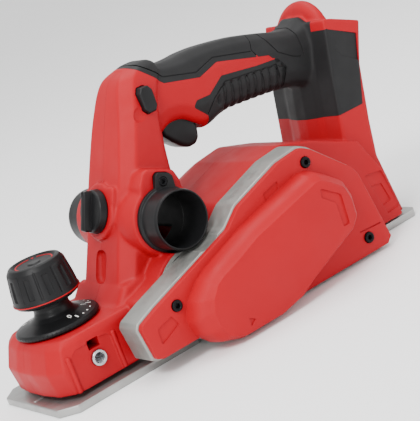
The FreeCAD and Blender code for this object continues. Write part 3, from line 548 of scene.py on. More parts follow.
@dataclass(frozen=True)
class Finish:
    """A surface finish; lengths are in millimetres.

    Attributes:
        name: the material's name.
        slot: the record's material slot.
        colour: base colour, scene-linear.
        roughness, metallic, specular, sheen: the shader's own values.
        grain: kind of fine relief.
        pitch: size of the relief's bumps.
        depth: height of the relief.
        patch: size of the patches in which the colour wanders.
        wander: share by which the colour wanders.
        spread: how far the roughness wanders.
        edge: radius that rubbed edges are shaded with.
        worn: how far a rubbed edge is lightened.
        NOISE_SPAN: the range that most noise values lie in.
        RUBBED_FACING: how squarely a face looks the rounded way where rubbing starts and ends.
        RUBBED_TONE: gain and lift that lighten the colour of a rubbed edge.
    """

    name: str
    slot: str
    colour: tuple[float, float, float, float]
    roughness: float
    metallic: float = 0.0
    specular: float = 0.18
    grain: Grain = Grain.SPARK
    pitch: float = 0.45
    depth: float = 0.03
    patch: float = 28.0
    wander: float = 0.05
    spread: float = 0.07
    edge: float = 0.45
    worn: float = 0.25
    sheen: float = 0.0
    NOISE_SPAN: ClassVar[tuple[float, float]] = (0.3, 0.7)
    RUBBED_FACING: ClassVar[tuple[float, float]] = (0.985, 0.85)
    RUBBED_TONE: ClassVar[tuple[float, float]] = (1.15, 0.012)

    def material(self) -> bpy.types.Material:
        """Return the finish's material, made once."""
        made = bpy.data.materials.get(self.name)
        return made if made is not None else self._make()

    def _make(self) -> bpy.types.Material:
        """Build the node tree: patches of colour, worn edges, relief and gloss."""
        material = bpy.data.materials.new(self.name)
        material.use_nodes = True
        tree = material.node_tree
        shader = tree.nodes["Principled BSDF"]
        place = tree.nodes.new("ShaderNodeTexCoord").outputs["Object"]
        rounded_edge = tree.nodes.new("ShaderNodeBevel")
        rounded_edge.samples = 4
        preset(rounded_edge, Radius=self.edge * MM)
        self._colour(tree, shader, place, rounded_edge.outputs["Normal"])
        self._relief(tree, shader, place, rounded_edge.outputs["Normal"])
        preset(shader, Metallic=self.metallic, Specular_IOR_Level=self.specular, Sheen_Weight=self.sheen)
        return material

    def _noise(self, tree: bpy.types.NodeTree, place: bpy.types.NodeSocket, size: float,
               detail: float, stretch: Place = (1, 1, 1)) -> bpy.types.NodeSocket:
        """Return a noise of some feature size in millimetres, stretched along the axes."""
        mapping = tree.nodes.new("ShaderNodeMapping")
        preset(mapping, Scale=stretch)
        noise = tree.nodes.new("ShaderNodeTexNoise")
        preset(noise, Scale=1 / (size * MM), Detail=detail)
        tree.links.new(place, mapping.inputs["Vector"])
        tree.links.new(mapping.outputs["Vector"], noise.inputs["Vector"])
        return noise.outputs["Fac"]

    def _ranged(self, tree: bpy.types.NodeTree, source: bpy.types.NodeSocket,
                taken: tuple[float, float], given: tuple[float, float]) -> bpy.types.NodeSocket:
        """Return a value of one range spread over another."""
        ranged = tree.nodes.new("ShaderNodeMapRange")
        preset(ranged, From_Min=taken[0], From_Max=taken[1], To_Min=given[0], To_Max=given[1])
        tree.links.new(source, ranged.inputs["Value"])
        return ranged.outputs["Result"]

    def _colour(self, tree: bpy.types.NodeTree, shader: bpy.types.Node, place: bpy.types.NodeSocket,
                soft: bpy.types.NodeSocket) -> None:
        """Let the colour wander in patches, and lighten it where an edge is rubbed."""
        ramp = tree.nodes.new("ShaderNodeValToRGB")
        shares = (1 - self.wander, 1 + self.wander)
        for stop, share, spot in zip(ramp.color_ramp.elements, shares, self.NOISE_SPAN):
            stop.color = (*(min(value * share, 1.0) for value in self.colour[:3]), 1.0)
            stop.position = spot
        tree.links.new(self._noise(tree, place, self.patch, 3.0), ramp.inputs["Fac"])
        geometry = tree.nodes.new("ShaderNodeNewGeometry")
        facing = tree.nodes.new("ShaderNodeVectorMath")
        facing.operation = "DOT_PRODUCT"
        tree.links.new(soft, facing.inputs[0])
        tree.links.new(geometry.outputs["Normal"], facing.inputs[1])
        rubbed = self._ranged(tree, facing.outputs["Value"], self.RUBBED_FACING, (0.0, self.worn))
        lighter = tree.nodes.new("ShaderNodeMix")
        lighter.data_type = "RGBA"
        factor, plain, worn, mixed = 0, 6, 7, 2
        tree.links.new(rubbed, lighter.inputs[factor])
        tree.links.new(ramp.outputs["Color"], lighter.inputs[plain])
        gain, lift = self.RUBBED_TONE
        lighter.inputs[worn].default_value = (*(value * gain + lift for value in self.colour[:3]), 1.0)
        tree.links.new(lighter.outputs[mixed], shader.inputs["Base Color"])

    def _relief(self, tree: bpy.types.NodeTree, shader: bpy.types.Node, place: bpy.types.NodeSocket,
                soft: bpy.types.NodeSocket) -> None:
        """Add the fine grain, and let the gloss wander with it."""
        stretch = {Grain.MILLED: (0.03, 1.0, 1.0), Grain.TURNED: (1.0, 0.03, 1.0)}.get(self.grain, (1, 1, 1))
        detail = {Grain.SAND: 6.0, Grain.PEBBLE: 1.0}.get(self.grain, 2.5)
        grain = self._noise(tree, place, self.pitch, detail, stretch)
        bump = tree.nodes.new("ShaderNodeBump")
        preset(bump, Strength=0.6, Distance=self.depth * MM)
        tree.links.new(grain, bump.inputs["Height"])
        tree.links.new(soft, bump.inputs["Normal"])
        tree.links.new(bump.outputs["Normal"], shader.inputs["Normal"])
        patchy = self._noise(tree, place, self.patch * 0.4, 5.0, stretch)
        limits = (max(self.roughness - self.spread, 0.03), min(self.roughness + self.spread, 1.0))
        tree.links.new(self._ranged(tree, patchy, self.NOISE_SPAN, limits), shader.inputs["Roughness"])


RED_SHELL = Finish("red_glass_filled_nylon", "housing_red", (0.33, 0.0004, 0.006, 1.0), 0.52, wander=0.035,
                   patch=40, pitch=0.5, depth=0.02, worn=0.12)
RED_TRIM = Finish("red_inlay", "trim_red", (0.33, 0.0004, 0.005, 1.0), 0.46, pitch=0.5, depth=0.015, worn=0.1)
GRIP_RUBBER = Finish("black_overmoulded_rubber", "grip_black", tone(19, 19, 20), 0.62, grain=Grain.PEBBLE,
                     pitch=0.55, depth=0.045, wander=0.08, sheen=0.02, specular=0.25, worn=0.1)
BLACK_NYLON = Finish("black_nylon", "black_plastic", tone(19, 19, 20), 0.4, pitch=0.4, depth=0.02,
                     wander=0.1, spread=0.08, worn=0.16)
DIAL_NYLON = Finish("satin_black_dial", "black_plastic", tone(17, 17, 18), 0.36, pitch=0.3, depth=0.01,
                    wander=0.06, spread=0.05, worn=0.14)
SMOKED = Finish("dark_inner_nylon", "black_plastic", tone(13, 13, 14), 0.55, pitch=0.6, depth=0.03, worn=0.05)
CAST_ALLOY = Finish("die_cast_alloy", "cast_silver", tone(138, 138, 134), 0.5, metallic=0.72,
                    grain=Grain.SAND, pitch=0.9, depth=0.05, patch=14, wander=0.07, spread=0.1, worn=0.3)
SHOE_ALLOY = Finish("milled_shoe_alloy", "shoe_aluminium", tone(158, 158, 156), 0.4, metallic=0.85,
                    grain=Grain.MILLED, pitch=0.5, depth=0.02, patch=18, wander=0.08, spread=0.12, worn=0.35)
SCREW_OXIDE = Finish("black_oxide_screws", "screw_black", tone(20, 20, 22), 0.34, metallic=0.6, pitch=0.3,
                     depth=0.01, patch=3, wander=0.15, spread=0.1, edge=0.15, worn=0.3)
GROUND_STEEL = Finish("ground_steel", "steel", tone(176, 177, 180), 0.25, metallic=1.0, grain=Grain.TURNED,
                      pitch=0.25, depth=0.008, patch=6, wander=0.1, spread=0.1, edge=0.2, worn=0.2)
CARBIDE = Finish("ground_carbide", "blade_carbide", tone(150, 152, 158), 0.18, metallic=1.0,
                 grain=Grain.MILLED, pitch=0.15, depth=0.004, patch=8, edge=0.1, worn=0.2)
PULLEY_ALLOY = Finish("turned_pulley_alloy", "pulley_aluminium", tone(192, 193, 195), 0.28, metallic=1.0,
                      grain=Grain.TURNED, pitch=0.2, depth=0.01, patch=8, edge=0.2, worn=0.2)
BELT_RUBBER = Finish("ribbed_belt_rubber", "belt_rubber", tone(24, 24, 25), 0.7, grain=Grain.PEBBLE,
                     pitch=0.6, depth=0.05, wander=0.15, sheen=0.1, worn=0.1)
BOARD_LACQUER = Finish("board_lacquer", "circuit_green", tone(18, 92, 52), 0.3, pitch=0.8, depth=0.03,
                       wander=0.2, patch=4, worn=0.1)
CONTACT_BRASS = Finish("contact_brass", "contact_brass", tone(206, 164, 82), 0.24, metallic=1.0, pitch=0.2,
                       depth=0.005, patch=5, wander=0.1, edge=0.1, worn=0.2)
DIAL_PRINT = Finish("white_pad_print", "grip_black", tone(232, 232, 228), 0.5, pitch=0.3, depth=0.01,
                    worn=0.0, edge=0.02, wander=0.05)


# ---------------------------------------------------------------------------------------------
# Housing and grips
# ---------------------------------------------------------------------------------------------
@dataclass
class Housing:
    """The red clamshell with its hollows, and the black grips moulded over it.

    Attributes:
        drum: the cutter's axis.
        motor: the motor's axis.
        port: the chip outlets' axis.
        knob_x: X of the depth knob's axis.
        half_gap: half the parting line between the two halves.
        voxel: grain of the moulded skin.
        nose_top: height of the flat that the knob's dial turns on.
        web_back: Y where the housing meets the casting.
        far_face: Y of the far side.
        diverter_tilt: lean of the diverter's axis from upright, in degrees.
        diverter: the point on the column's front that the diverter stands at.
        lean: lean of the battery's way from upright, in degrees.
        bay: foot of the battery's way, on the middle of its slot.
        port_face: distance of the outlets' seats from the middle.
        wall: depth of the grips under the skin.
        grip_seat: depth of the shell's seats for the grips, a little less, so that they meet.
        grip_start: X where the seats under the top grip begin.
        drum_room, motor_room, duct_room, outlet_room, insert_room, post_room, screw_room: radii of
            the hollows for those pieces.
        hump, hump_far: side outlines of the hump at the belt side and at the far side.
        column_rows: the column's levels, as (z, front x, rear x, and its half widths there).
        handle_rows: the handle's sections, as (x, top z, bottom z, half width).
        cradle_rows: the rear column's levels, as (z, front x, rear x, half width).
        top_grip, rib_grip, collar, sleeve: side outlines of the grips.
        shell_screws: the housing screws, as (x, z, distance of the head from the middle).
    """

    drum: Vector
    motor: Vector
    port: Vector
    knob_x: float
    half_gap: float = 0.07
    voxel: float = 0.85
    nose_top: float = 41.0
    web_back: float = -46.0
    far_face: float = 44.0
    diverter_tilt: float = 65.5
    diverter: Place = (-53.5, 0.0, 91.5)
    lean: float = 12.0
    bay: Place = (135.0, 0.0, 48.0)
    port_face: float = 37.0
    wall: float = 2.5
    grip_seat: float = 2.2
    grip_start: float = -7.0
    drum_room: float = 31.6
    motor_room: float = 28.5
    duct_room: float = 19.1
    outlet_room: float = 20.9
    insert_room: float = 5.06
    post_room: float = 4.3
    screw_room: float = 3.6
    hump: tuple = ((-74, 14), (-78, 42, 4), (-14, 64, 12), (-1, 74, 10), (36, 86, 6), (56, 88.5, 6),
                   (81, 81, 8), (101, 72, 10), (116, 66, 6), (128, 40, 5), (132, 6.5), (-2, 6.5), (-2, 14))
    hump_far: tuple = ((-72, 14), (-76, 38, 4), (-14, 58, 12), (0, 67, 10), (36, 78, 6), (56, 80, 6),
                       (78, 74, 8), (98, 66, 10), (112, 60, 6), (124, 38, 5), (128, 6.5), (-2, 6.5), (-2, 14))
    column_rows: tuple = ((38, -78, -6, 22, 29, 27), (52, -71.5, -7.5, 21, 28.5, 26),
                          (74, -61, -9, 20, 28, 25), (104, -47, -7, 20, 27, 23), (133, -33, -1, 18, 25, 20.5),
                          (148, -25.5, 5, 15.5, 22, 18.5), (158, -20, 12, 13, 19, 17),
                          (164, -14.5, 12.5, 10.5, 16, 15), (167.4, -6, 10, 6, 11.5, 11),
                          (168, -1, 8, 3.5, 8, 8))
    handle_rows: tuple = ((-8, 167.5, 112, 15.5), (1, 168, 119, 15.8), (9, 165.4, 122.6, 16),
                          (18, 162, 121.6, 16.3), (25.5, 161.3, 116, 16.7), (31, 161.3, 112.2, 17),
                          (38, 161.6, 112, 17), (52, 160.8, 115.2, 17), (77, 157, 113.5, 16.8),
                          (97, 151.8, 111.3, 16.6), (109, 148, 109, 16.8), (117, 146.6, 105, 17.2),
                          (122.5, 147.8, 101, 18), (127.5, 150.2, 98, 19.3), (129.6, 150.4, 97, 19.6),
                          (138, 148, 96, 19))
    cradle_rows: tuple = ((6.5, 101, 139, 40), (48, 110, 135, 37.2), (72, 114.5, 139.5, 36),
                          (109, 121.5, 147, 36), (134, 128, 158, 35), (146, 131, 163, 34))
    top_grip: tuple = ((-9, 190), (-7, 169.5), (-1.2, 163), (11.5, 150.3), (37, 144), (53, 148.2, 4),
                       (83.5, 139.6), (81.2, 145), (86.5, 157), (86.5, 190))
    rib_grip: tuple = ((25.5, 128, 2), (29, 131.6, 2), (39.5, 131.2, 2), (52.5, 139, 2), (80.7, 134.6),
                       (98, 133), (103.5, 125), (97, 112), (95, 96), (36, 96), (34.6, 119, 1))
    collar: tuple = ((87, 190), (87, 156.8), (81.8, 145), (84.2, 139.4), (92.3, 137.2, 1.2),
                     (94.6, 134.2, 1.2), (98.6, 133.4), (104.2, 125), (97.8, 112), (95.8, 84), (131, 84),
                     (131, 190))
    sleeve: tuple = ((96, 84), (137.2, 84, 1), (151.6, 128.7, 1), (128.4, 140.4, 1), (123, 152), (96, 152))
    shell_screws: tuple = ((-122, 16, 34), (-66, 50, 24), (-28, 118, 22), (3, 161, 12), (60, 130, 14),
                           (104, 128, 15), (92, 62, 32), (104, 40, 42))

    def nose(self) -> Solid:
        """Return the block that carries the depth knob, faceted at its front corners."""
        levels = ((8, ((-70, -38), (-121, -38), (-131, -36), (-137.5, -26), (-139.5, -10))),
                  (24, ((-70, -38), (-121, -38), (-133.5, -36.6), (-140, -26), (-142, -10))),
                  (37, ((-70, -37), (-118, -37), (-129.5, -34.5), (-135, -25), (-137, -9))),
                  (40.3, ((-70, -35.5), (-116.5, -35.5), (-126.5, -32.5), (-132, -23), (-134, -8.4))),
                  (self.nose_top, ((-70, -34), (-116, -34), (-125, -31), (-130.5, -22), (-132.5, -8))))
        return Solid.loft(Plane.TOP, [(z, rounded(mirrored(half), 0.7, 3)) for z, half in levels])

    def saddle(self) -> Solid:
        """Return the ramp between the nose and the foot of the column."""
        ramp = ((-86, 30), (-84, 40.6, 3), (-80.5, 42.2, 3), (-73, 50.5, 1.2), (-60, 52), (-30, 52),
                (-30, 30))
        return Solid.pillow(Plane.SIDE, ramp, -31, 31, 1, 4, 4)

    def column(self) -> Solid:
        """Return the front column: a flat face, a chamfer each side, and soft flanks."""
        sections = []
        for z, front, rear, front_half, side_half, rear_half in stations(self.column_rows, 4):
            chamfer = min(9, 0.4 * (rear - front))
            half = ((rear, -rear_half, 0.3 * rear_half), (front + chamfer, -side_half, 2.2),
                    (front, -front_half, 2), (front - 0.5, -1.2, 0.6))
            sections.append((z, rounded(mirrored(half), 1, 5)))
        return Solid.loft(Plane.TOP, sections)

    def humps(self) -> Solid:
        """Return the motor and drum hump: straight on the belt side, falling away on the far side."""
        near, far = ([(*corner, 1.5)[:3] for corner in outline] for outline in (self.hump, self.hump_far))
        rows = ((self.web_back, 0.0, 0.0), (22, 0.0, 0.0), (25, 0.08, 0.0), (self.far_face - 3, 0.87, 0.0),
                (self.far_face - 0.8, 0.97, 1.0), (self.far_face, 1.0, 2.8))
        return Solid.loft(Plane.SIDE, [(y, rounded(inset(between(near, far, share), by), 1.5, 5))
                                       for y, share, by in rows])

    def crown(self) -> Solid:
        """Return the barrel over the drum, between the column's foot and the belt side."""
        radius = 33.4
        turns = [math.radians(turn) for turn in range(20, 141, 4)]
        ring = [(self.drum.x + radius * math.cos(turn), self.drum.z + radius * math.sin(turn))
                for turn in turns]
        return Solid.pillow(Plane.SIDE, ring, self.web_back, self.far_face - 1.5, 0)

    @staticmethod
    def handle_section(top: float, bottom: float, half: float) -> list[tuple]:
        """Return a rounded handle cross-section as (y, z) points."""
        tall = top - bottom
        right = ((half * 0.40, bottom), (half * 0.80, bottom + 0.09 * tall), (half, bottom + 0.30 * tall),
                 (half, top - 0.34 * tall), (half * 0.84, top - 0.12 * tall), (half * 0.44, top))
        left = tuple((-y, z) for y, z in reversed(right))
        return rounded(right + left, 6.5, 3)

    def handle(self, drawn_in: float = 0.0, first: float = -99, last: float = 999) -> Solid:
        """Return the handle, or its core when it is drawn in.

        Args:
            drawn_in: distance inside the outer surface.
            first: lowest X that is made.
            last: highest X that is made.
        """
        rows = [row for row in stations(self.handle_rows, 4) if first <= row[0] <= last]
        return Solid.loft(Plane.FRONT, [
            (x, self.handle_section(top - drawn_in, bottom + drawn_in, half - drawn_in))
            for x, top, bottom, half in rows])

    def cradle(self, drawn_in: float = 0.0) -> Solid:
        """Return the rear column that holds the battery bay, roof cut to its slope."""
        sections = []
        for z, front, rear, half in self.cradle_rows:
            lead = front + drawn_in
            outline = ((rear - drawn_in, drawn_in - half, 3), (lead - 0.4, 0.6 + drawn_in - half, 1.6),
                       (lead - 1.4, -20, 2), (lead - 3.4, -15, 5), (lead - 5.4, -5, 6))
            sections.append((z, rounded(mirrored(outline), 2, 4)))
        body = Solid.loft(Plane.TOP, sections)
        above = ((120, 147), (129, 146.5), (137, 144.4, 3), (166, 132), (180, 132), (180, 175), (120, 175))
        return body.cut(Solid.pillow(Plane.SIDE, above, -50, 50))

    def lean_matrix(self, out: float = 0, across: float = 0, up: float = 0) -> Matrix:
        """Return the frame of the battery bay: X out of the rear face, Z up the rails."""
        turn = Matrix.Rotation(math.radians(self.lean), 4, "Y")
        return Matrix.Translation(self.bay) @ turn @ Matrix.Translation((out, across, up))

    def dome(self) -> Solid:
        """Return the round cap behind the collar."""
        profile = ((0, 0), (25.5, 0, 5), (29.6, 2.6, 4), (30, 7.2, 1.2), (0, 7.2))
        return Solid.spun(profile, axis=(1, 0, 0), arc=6).move(self.lean_matrix(-22.5, 0, 79.5))

    def diverter_matrix(self, along: float = 0, across: float = 0, out: float = 0) -> Matrix:
        """Return the diverter's frame: Z out of the column's front face, X up it."""
        turn = Matrix.Rotation(math.radians(-self.diverter_tilt), 4, "Y")
        return Matrix.Translation(self.diverter) @ turn @ Matrix.Translation((along, across, out))

    def bosses(self) -> list[Solid]:
        """Return the bosses for the outlets, the outlet's screw tab and the diverter."""
        root, seat = 18, 3.1
        tall = self.port_face - root
        outlet = ((0, 0), (25, 0), (24.4, 9, 2), (23, tall, 1.6), (0, tall))
        made = [Solid.spun(outlet, (self.port.x, side * root, self.port.z), (0, side, 0)) for side in (-1, 1)]
        tab = ((-48, 84), (-42.5, 103, 3), (-37.5, 109.7, 2.5), (-33, 111.2, 2.5), (-15.8, 103.6, 2.5),
               (-13.6, 96, 3), (-16, 84))
        made.append(Solid.pillow(Plane.SIDE, tab, -root, -self.port_face, 2, 0, 1.4))
        disc = Solid.spun(((0, -9), (18.6, -9), (17.9, seat, 1.2), (0, seat)))
        stop = ((4, -18.5, 2), (15.5, -18.5, 3), (15.5, -6, 2), (4, -6, 2))
        made += [shape.move(self.diverter_matrix())
                 for shape in (disc, Solid.pillow(Plane.TOP, stop, -6, seat, 2, 0, 1.2))]
        return made

    def skin(self) -> Solid:
        """Return the whole outer form, with the small radii of a moulding."""
        outer = self.column().add(self.nose(), self.saddle(), self.humps(), self.crown(), self.handle(),
                                  self.cradle(), self.dome(), *self.bosses())
        return outer.moulded(self.voxel, 3)

    def hollows(self) -> list[Solid]:
        """Return the spaces inside the shell and the holes through it."""
        near, far, face = self.web_back - 1, self.far_face + 1, self.port_face
        drum, motor, port = ((axis.x, axis.z) for axis in (self.drum, self.motor, self.port))
        knob, insert = self.knob_x, (-109, 22)
        made = [Solid.block((-16, -27.5, -46), (40, 27.5, 92), turn=self.lean_matrix()),
                Solid.block((-50, -22, 54), (-16, 22, self.port.z)),
                Solid.block((6, near + 5, 0), (118, 38, 26)), Solid.block((-130, -24, 0), (-90, -13, 33)),
                Solid.block((-130, 13, 0), (-90, 24, 33)), Solid.block((-113, -40, 28.5), (-105, -14, 34.5)),
                Solid.block((-113, 14, 28.5), (-105, 40, 34.5)),
                Solid.crossrod(self.drum_room, drum, near, far),
                Solid.crossrod(self.motor_room, motor, near, 36), Solid.crossrod(8.1, motor, 35, 41.5),
                Solid.crossrod(self.duct_room, port, -face - 1, face + 1),
                Solid.crossrod(self.outlet_room, port, -50, -face),
                Solid.crossrod(self.outlet_room, port, face, 50)]
        made += [Solid.rod(radius, (knob, 0, low), (knob, 0, high), 64)
                 for radius, low, high in ((10.6, 0, 20), (5.1, 0, 50), (9, 33, 50))]
        made += [Solid.crossrod(self.insert_room, insert, side * 40, side * 25) for side in (-1, 1)]
        made += [Solid.rod(self.post_room, (-76, side * 22, 0), (-76, side * 22, 24), 64) for side in (-1, 1)]
        slot = ((-2.5, 117, 1), (-2.5, 134), (31.5, 134), (31.5, 100), (2, 100, 1))
        made.append(Solid.pillow(Plane.SIDE, slot, -10, 10))
        made.append(Solid.pillow(Plane.SIDE, self.lozenge(0.45), -40, 40, 1.6))
        flues = ((102, -38, -12, 18), (133, -26, -5, 17), (152, -16, 6, 13))
        made.append(Solid.loft(Plane.TOP, [(z, mirrored(((rear, -half), (front, -half))))
                                           for z, front, rear, half in flues]))
        made.append(Solid.rod(5.1, (0, 0, -22), (0, 0, 6)).move(self.diverter_matrix()))
        made += [Solid.crossrod(self.screw_room, (x, z), half - 4, half + 30, 32)
                 for x, z, half in self.shell_screws]
        tab = ((-37.4, 88), (-31.4, 105.9, 2.6), (-28.5, 107.4, 2.6), (-21.2, 104.3, 2.6),
               (-19.2, 101.4, 2.6), (-20, 84))
        made.append(Solid.pillow(Plane.SIDE, tab, -50, 3 - face, 2.4))
        return made

    @staticmethod
    def lozenge(grown: float = 0.0) -> list[tuple]:
        """Return the outline of the lock-off button in the side plane, grown for its way."""
        x, z, wide, tall = -8.0, 147.0, 4.9 + grown, 8.4 + grown
        return [(x - wide * 0.55, z - tall), (x + wide * 0.55, z - tall), (x + wide, z - tall * 0.62),
                (x + wide, z + tall * 0.62), (x + wide * 0.55, z + tall), (x - wide * 0.55, z + tall),
                (x - wide, z + tall * 0.62), (x - wide, z - tall * 0.62)]

    def surface_cuts(self) -> list[Solid]:
        """Return the recesses, vents, scoops and engraved marks of the outer faces."""
        made = []
        panel = ((-126.3, 4), (-126.3, 30, 3), (-122, 33.4, 4), (-99, 33.4, 4), (-96.4, 30, 3), (-96.4, 4))
        rear_panel = ((111.5, 43, 1.5), (126.3, 40.6, 2), (131.6, 13, 1.5), (120, 12, 1.5))
        for side in (-1, 1):
            made.append(Solid.pillow(Plane.SIDE, panel, side * 45, side * 36.6, 2, 0, 0.7))
            depth = side * (44.9 if side < 0 else 42.6)
            made.append(Solid.pillow(Plane.SIDE, rear_panel, side * 50, depth, 2, 0, 0.7))
            made.append(Solid.ball((8.5, 4.6, 7), (-15.5, side * 26.2, 141.3)))
        inner = ((114, 34, 1), (123.6, 32.6, 1), (127, 19, 1), (119.4, 18, 1))
        made.append(Solid.pillow(Plane.SIDE, inner, -50, -44.1, 1, 0, 0.6))
        under = Solid.pillow(Plane.TOP, oblong(-45, -24, -6.5, 6.5), 4, -3.8, 5, 0, 3.4)
        made.append(under.move(self.diverter_matrix()))
        made += self.arrow_mark()
        pitch, half = 6, 1.5
        for step in range(-3, 4):
            reach, z = 17 - abs(step) * 1.6, self.motor.z + step * pitch
            vent = oblong(self.motor.x - reach, self.motor.x + reach, z - half, z + half)
            depth = 30 if abs(step) > 1 else 42.4
            made.append(Solid.pillow(Plane.SIDE, vent, depth, 50, 1.45))
        made += [Solid.pillow(Plane.SIDE, oblong(x, x + 3, 12, 26), 35.6, 45, 1.2, 0.5)
                 for x in (-116, -108, -100, -92)]
        return made

    def arrow_mark(self) -> list[Solid]:
        """Return three bars and an arrowhead that show which way the chips leave."""
        bars = [oblong(18, 25.5, y, y + 1) for y in (4.6, 2.4, 0.2)]
        head = ((17.5, -1.6), (25.5, -1.6), (21.5, -6.2))
        return [Solid.pillow(Plane.TOP, shape, -0.45, 3, 0.25).move(self.diverter_matrix())
                for shape in (*bars, head)]

    def side_ribs(self) -> list[Solid]:
        """Return the upright ribs that frame the nose's side panels."""
        made = []
        for x, top in ((-128.3, 31.5), (-94.6, 33)):
            for side in (-1, 1):
                rib = ((x - 1.5, 8.2), (x + 1.5, 8.2), (x + 1.5, top, 1.4), (x - 1.5, top, 1.4))
                made.append(Solid.pillow(Plane.SIDE, rib, side * 33, side * 38.4, 0.8, 0, 1.1))
        return made

    def ribbon(self, points: Outline, wide: float) -> Solid:
        """Return a thin blade along an open line in the side plane, right through the tool."""
        left, right = [], []
        for index, point in enumerate(points):
            before = Vector(points[max(index - 1, 0)][:2])
            after = Vector(points[min(index + 1, len(points) - 1)][:2])
            run = (after - before).normalized() * wide / 2
            left.append((point[0] - run.y, point[1] + run.x))
            right.append((point[0] + run.y, point[1] - run.x))
        return Solid.pillow(Plane.SIDE, left + right[::-1], -40, 40, 0)

    def grip_lines(self) -> Solid:
        """Return the engraved lines of the grips, shallow all round the handle."""
        lines = (((-5, 172), (2, 164.6), (13, 154), (36, 147.8), (51.6, 151.8), (80.5, 144.6)),
                 ((94.6, 170), (94.6, 149), (100, 136.4), (111, 129), (116, 127.6)),
                 ((119, 160), (119.6, 140), (118.4, 127.6)),
                 ((34.6, 120), (42.4, 128), (53.4, 134.6), (76, 132.2), (93.6, 130), (101.6, 125),
                  (97.6, 113)))
        blades = [self.ribbon(line, 0.75) for line in lines]
        return blades[0].add(*blades[1:]).cut(self.handle(0.55))

    def ribbed(self, place: Vector, outward: Vector) -> Vector:
        """Return how far a point of the lower grip moves to form the finger ribs."""
        x, z = place.x, place.z
        pitch, depth, sink = 6.3, 1.5, 0.15
        lead = x - 0.12 * (z - 122) + 0.006 * (z - 124) ** 2
        margins = ((x - 42.5) / 2.2, (98.4 - x + (z - 126) * 0.2) / 2.2,
                   (138.2 - z - max(0, x - 54) * 0.1) / 1.6, (z - 131 + (x - 42) * 1.1 + 6) / 2,
                   (134.0 - abs(x - 54) * 0.09 - z) / 1.2, (x - 36 - (z - 118) * 0.9) / 2)
        mask = max(0.0, min(1.0, *margins))
        wave = 0.5 + 0.5 * math.cos(math.tau * (lead - 45) / pitch)
        return outward * (-depth * wave ** 2.2 - sink) * mask

    def build(self) -> None:
        """Make the two halves, the three grips and the screws that hold the halves."""
        skin = self.skin()
        grip_core = self.handle(self.wall, self.grip_start).add(self.cradle(self.wall))
        lines, dome = self.grip_lines(), self.dome()
        seam = ((79, 190), (79, 147), (82, 141.5), (84.6, 140.4), (90, 150), (90, 190))
        seat = self.handle(self.grip_seat, self.grip_start)
        shell = skin.cut(Solid.pillow(Plane.SIDE, seam, -50, 50).cut(seat))
        seat = seat.add(self.cradle(self.grip_seat))
        for name, zone in self.zones().items():
            grip = skin.common(zone).cut(grip_core, lines)
            if name == "ribbed_grip":
                grip = grip.shaped(self.ribbed)
            if name == "rear_sleeve":
                grip = grip.cut(dome, *self.sleeve_cuts())
            piece(name, grip, GRIP_RUBBER, "frame", [name], smooth=40)
            shell = shell.cut(zone.cut(seat, dome))
        shell = shell.add(*self.side_ribs()).cut(*self.hollows(), *self.surface_cuts(), self.handle_void())
        far = 150
        gap = self.half_gap
        for name, low, high in (("left_housing", -gap, far), ("right_housing", -far, gap)):
            away = Solid.block((-250, low, -50), (250, high, 250))
            piece(name, shell.cut(away), RED_SHELL, "frame", [name], smooth=38)
        self.screws()

    def zones(self) -> dict[str, Solid]:
        """Return the space that each grip fills, right through the tool."""
        wide, soft = 55, 0.6
        zones = {name: Solid.pillow(Plane.SIDE, outline, -wide, wide, soft)
                 for name, outline in (("top_grip", self.top_grip), ("ribbed_grip", self.rib_grip),
                                       ("rear_sleeve", self.collar))}
        above = [Solid.block((112, 20, 139.6), (150, 60, 200)),
                 Solid.block((112, -60, 139.6), (150, -20, 200)),
                 Solid.pillow(Plane.SIDE, oblong(118, 140, 152.2, 200), -40, 40, 0)]
        sleeve = Solid.pillow(Plane.SIDE, self.sleeve, -wide, wide, soft)
        zones["rear_sleeve"] = zones["rear_sleeve"].add(sleeve).cut(*above)
        return zones

    def sleeve_cuts(self) -> list[Solid]:
        """Return the battery's way through the rear sleeve and the sleeve's side panels."""
        bay = Solid.block((-17, -30, -60), (30, 30, 110), turn=self.lean_matrix())
        panel = ((135.6, 137.4), (131.8, 124.4, 1), (134.6, 119.2, 1), (148.2, 110), (153, 131))
        return [bay, *(Solid.pillow(Plane.SIDE, panel, side * 34.4, side * 60, 1, 0.5) for side in (-1, 1))]

    def handle_void(self) -> Solid:
        """Return the hollow of the handle between its screw bosses."""
        void = self.handle(5.5, 12, 96)
        return void.cut(Solid.block((54, -40, 100), (66, 40, 136)))

    def screws(self) -> None:
        """Make the screws of the clamshell, sunk in the far half."""
        heads = [socket_screw(3.4, 3.2, 2.0, half + 8).move(standing((x, half - 0.6, z), (0, 1, 0)))
                 for x, z, half in self.shell_screws]
        piece("housing_screws", heads, SCREW_OXIDE, "frame", ["housing_screws"])


def socket_screw(head: float, tall: float, shank: float, length: float) -> Solid:
    """Return a socket screw that stands along Z, its head's top face at the origin.

    Args:
        head: head radius.
        tall: head height.
        shank: shank radius.
        length: whole length.
    """
    profile = ((0, -length), (shank * 0.9, -length, 0.2), (shank, -length + 1), (shank, -tall), (head, -tall),
               (head, 0, 0.5), (head * 0.66, 0), (head * 0.6, -0.3), (0, -0.3))
    body = Solid.spun(profile, steps=40, arc=3)
    socket = Solid.rod(head * 0.52, (0, 0, -tall * 0.75), (0, 0, 1), 6)
    return body.cut(socket)


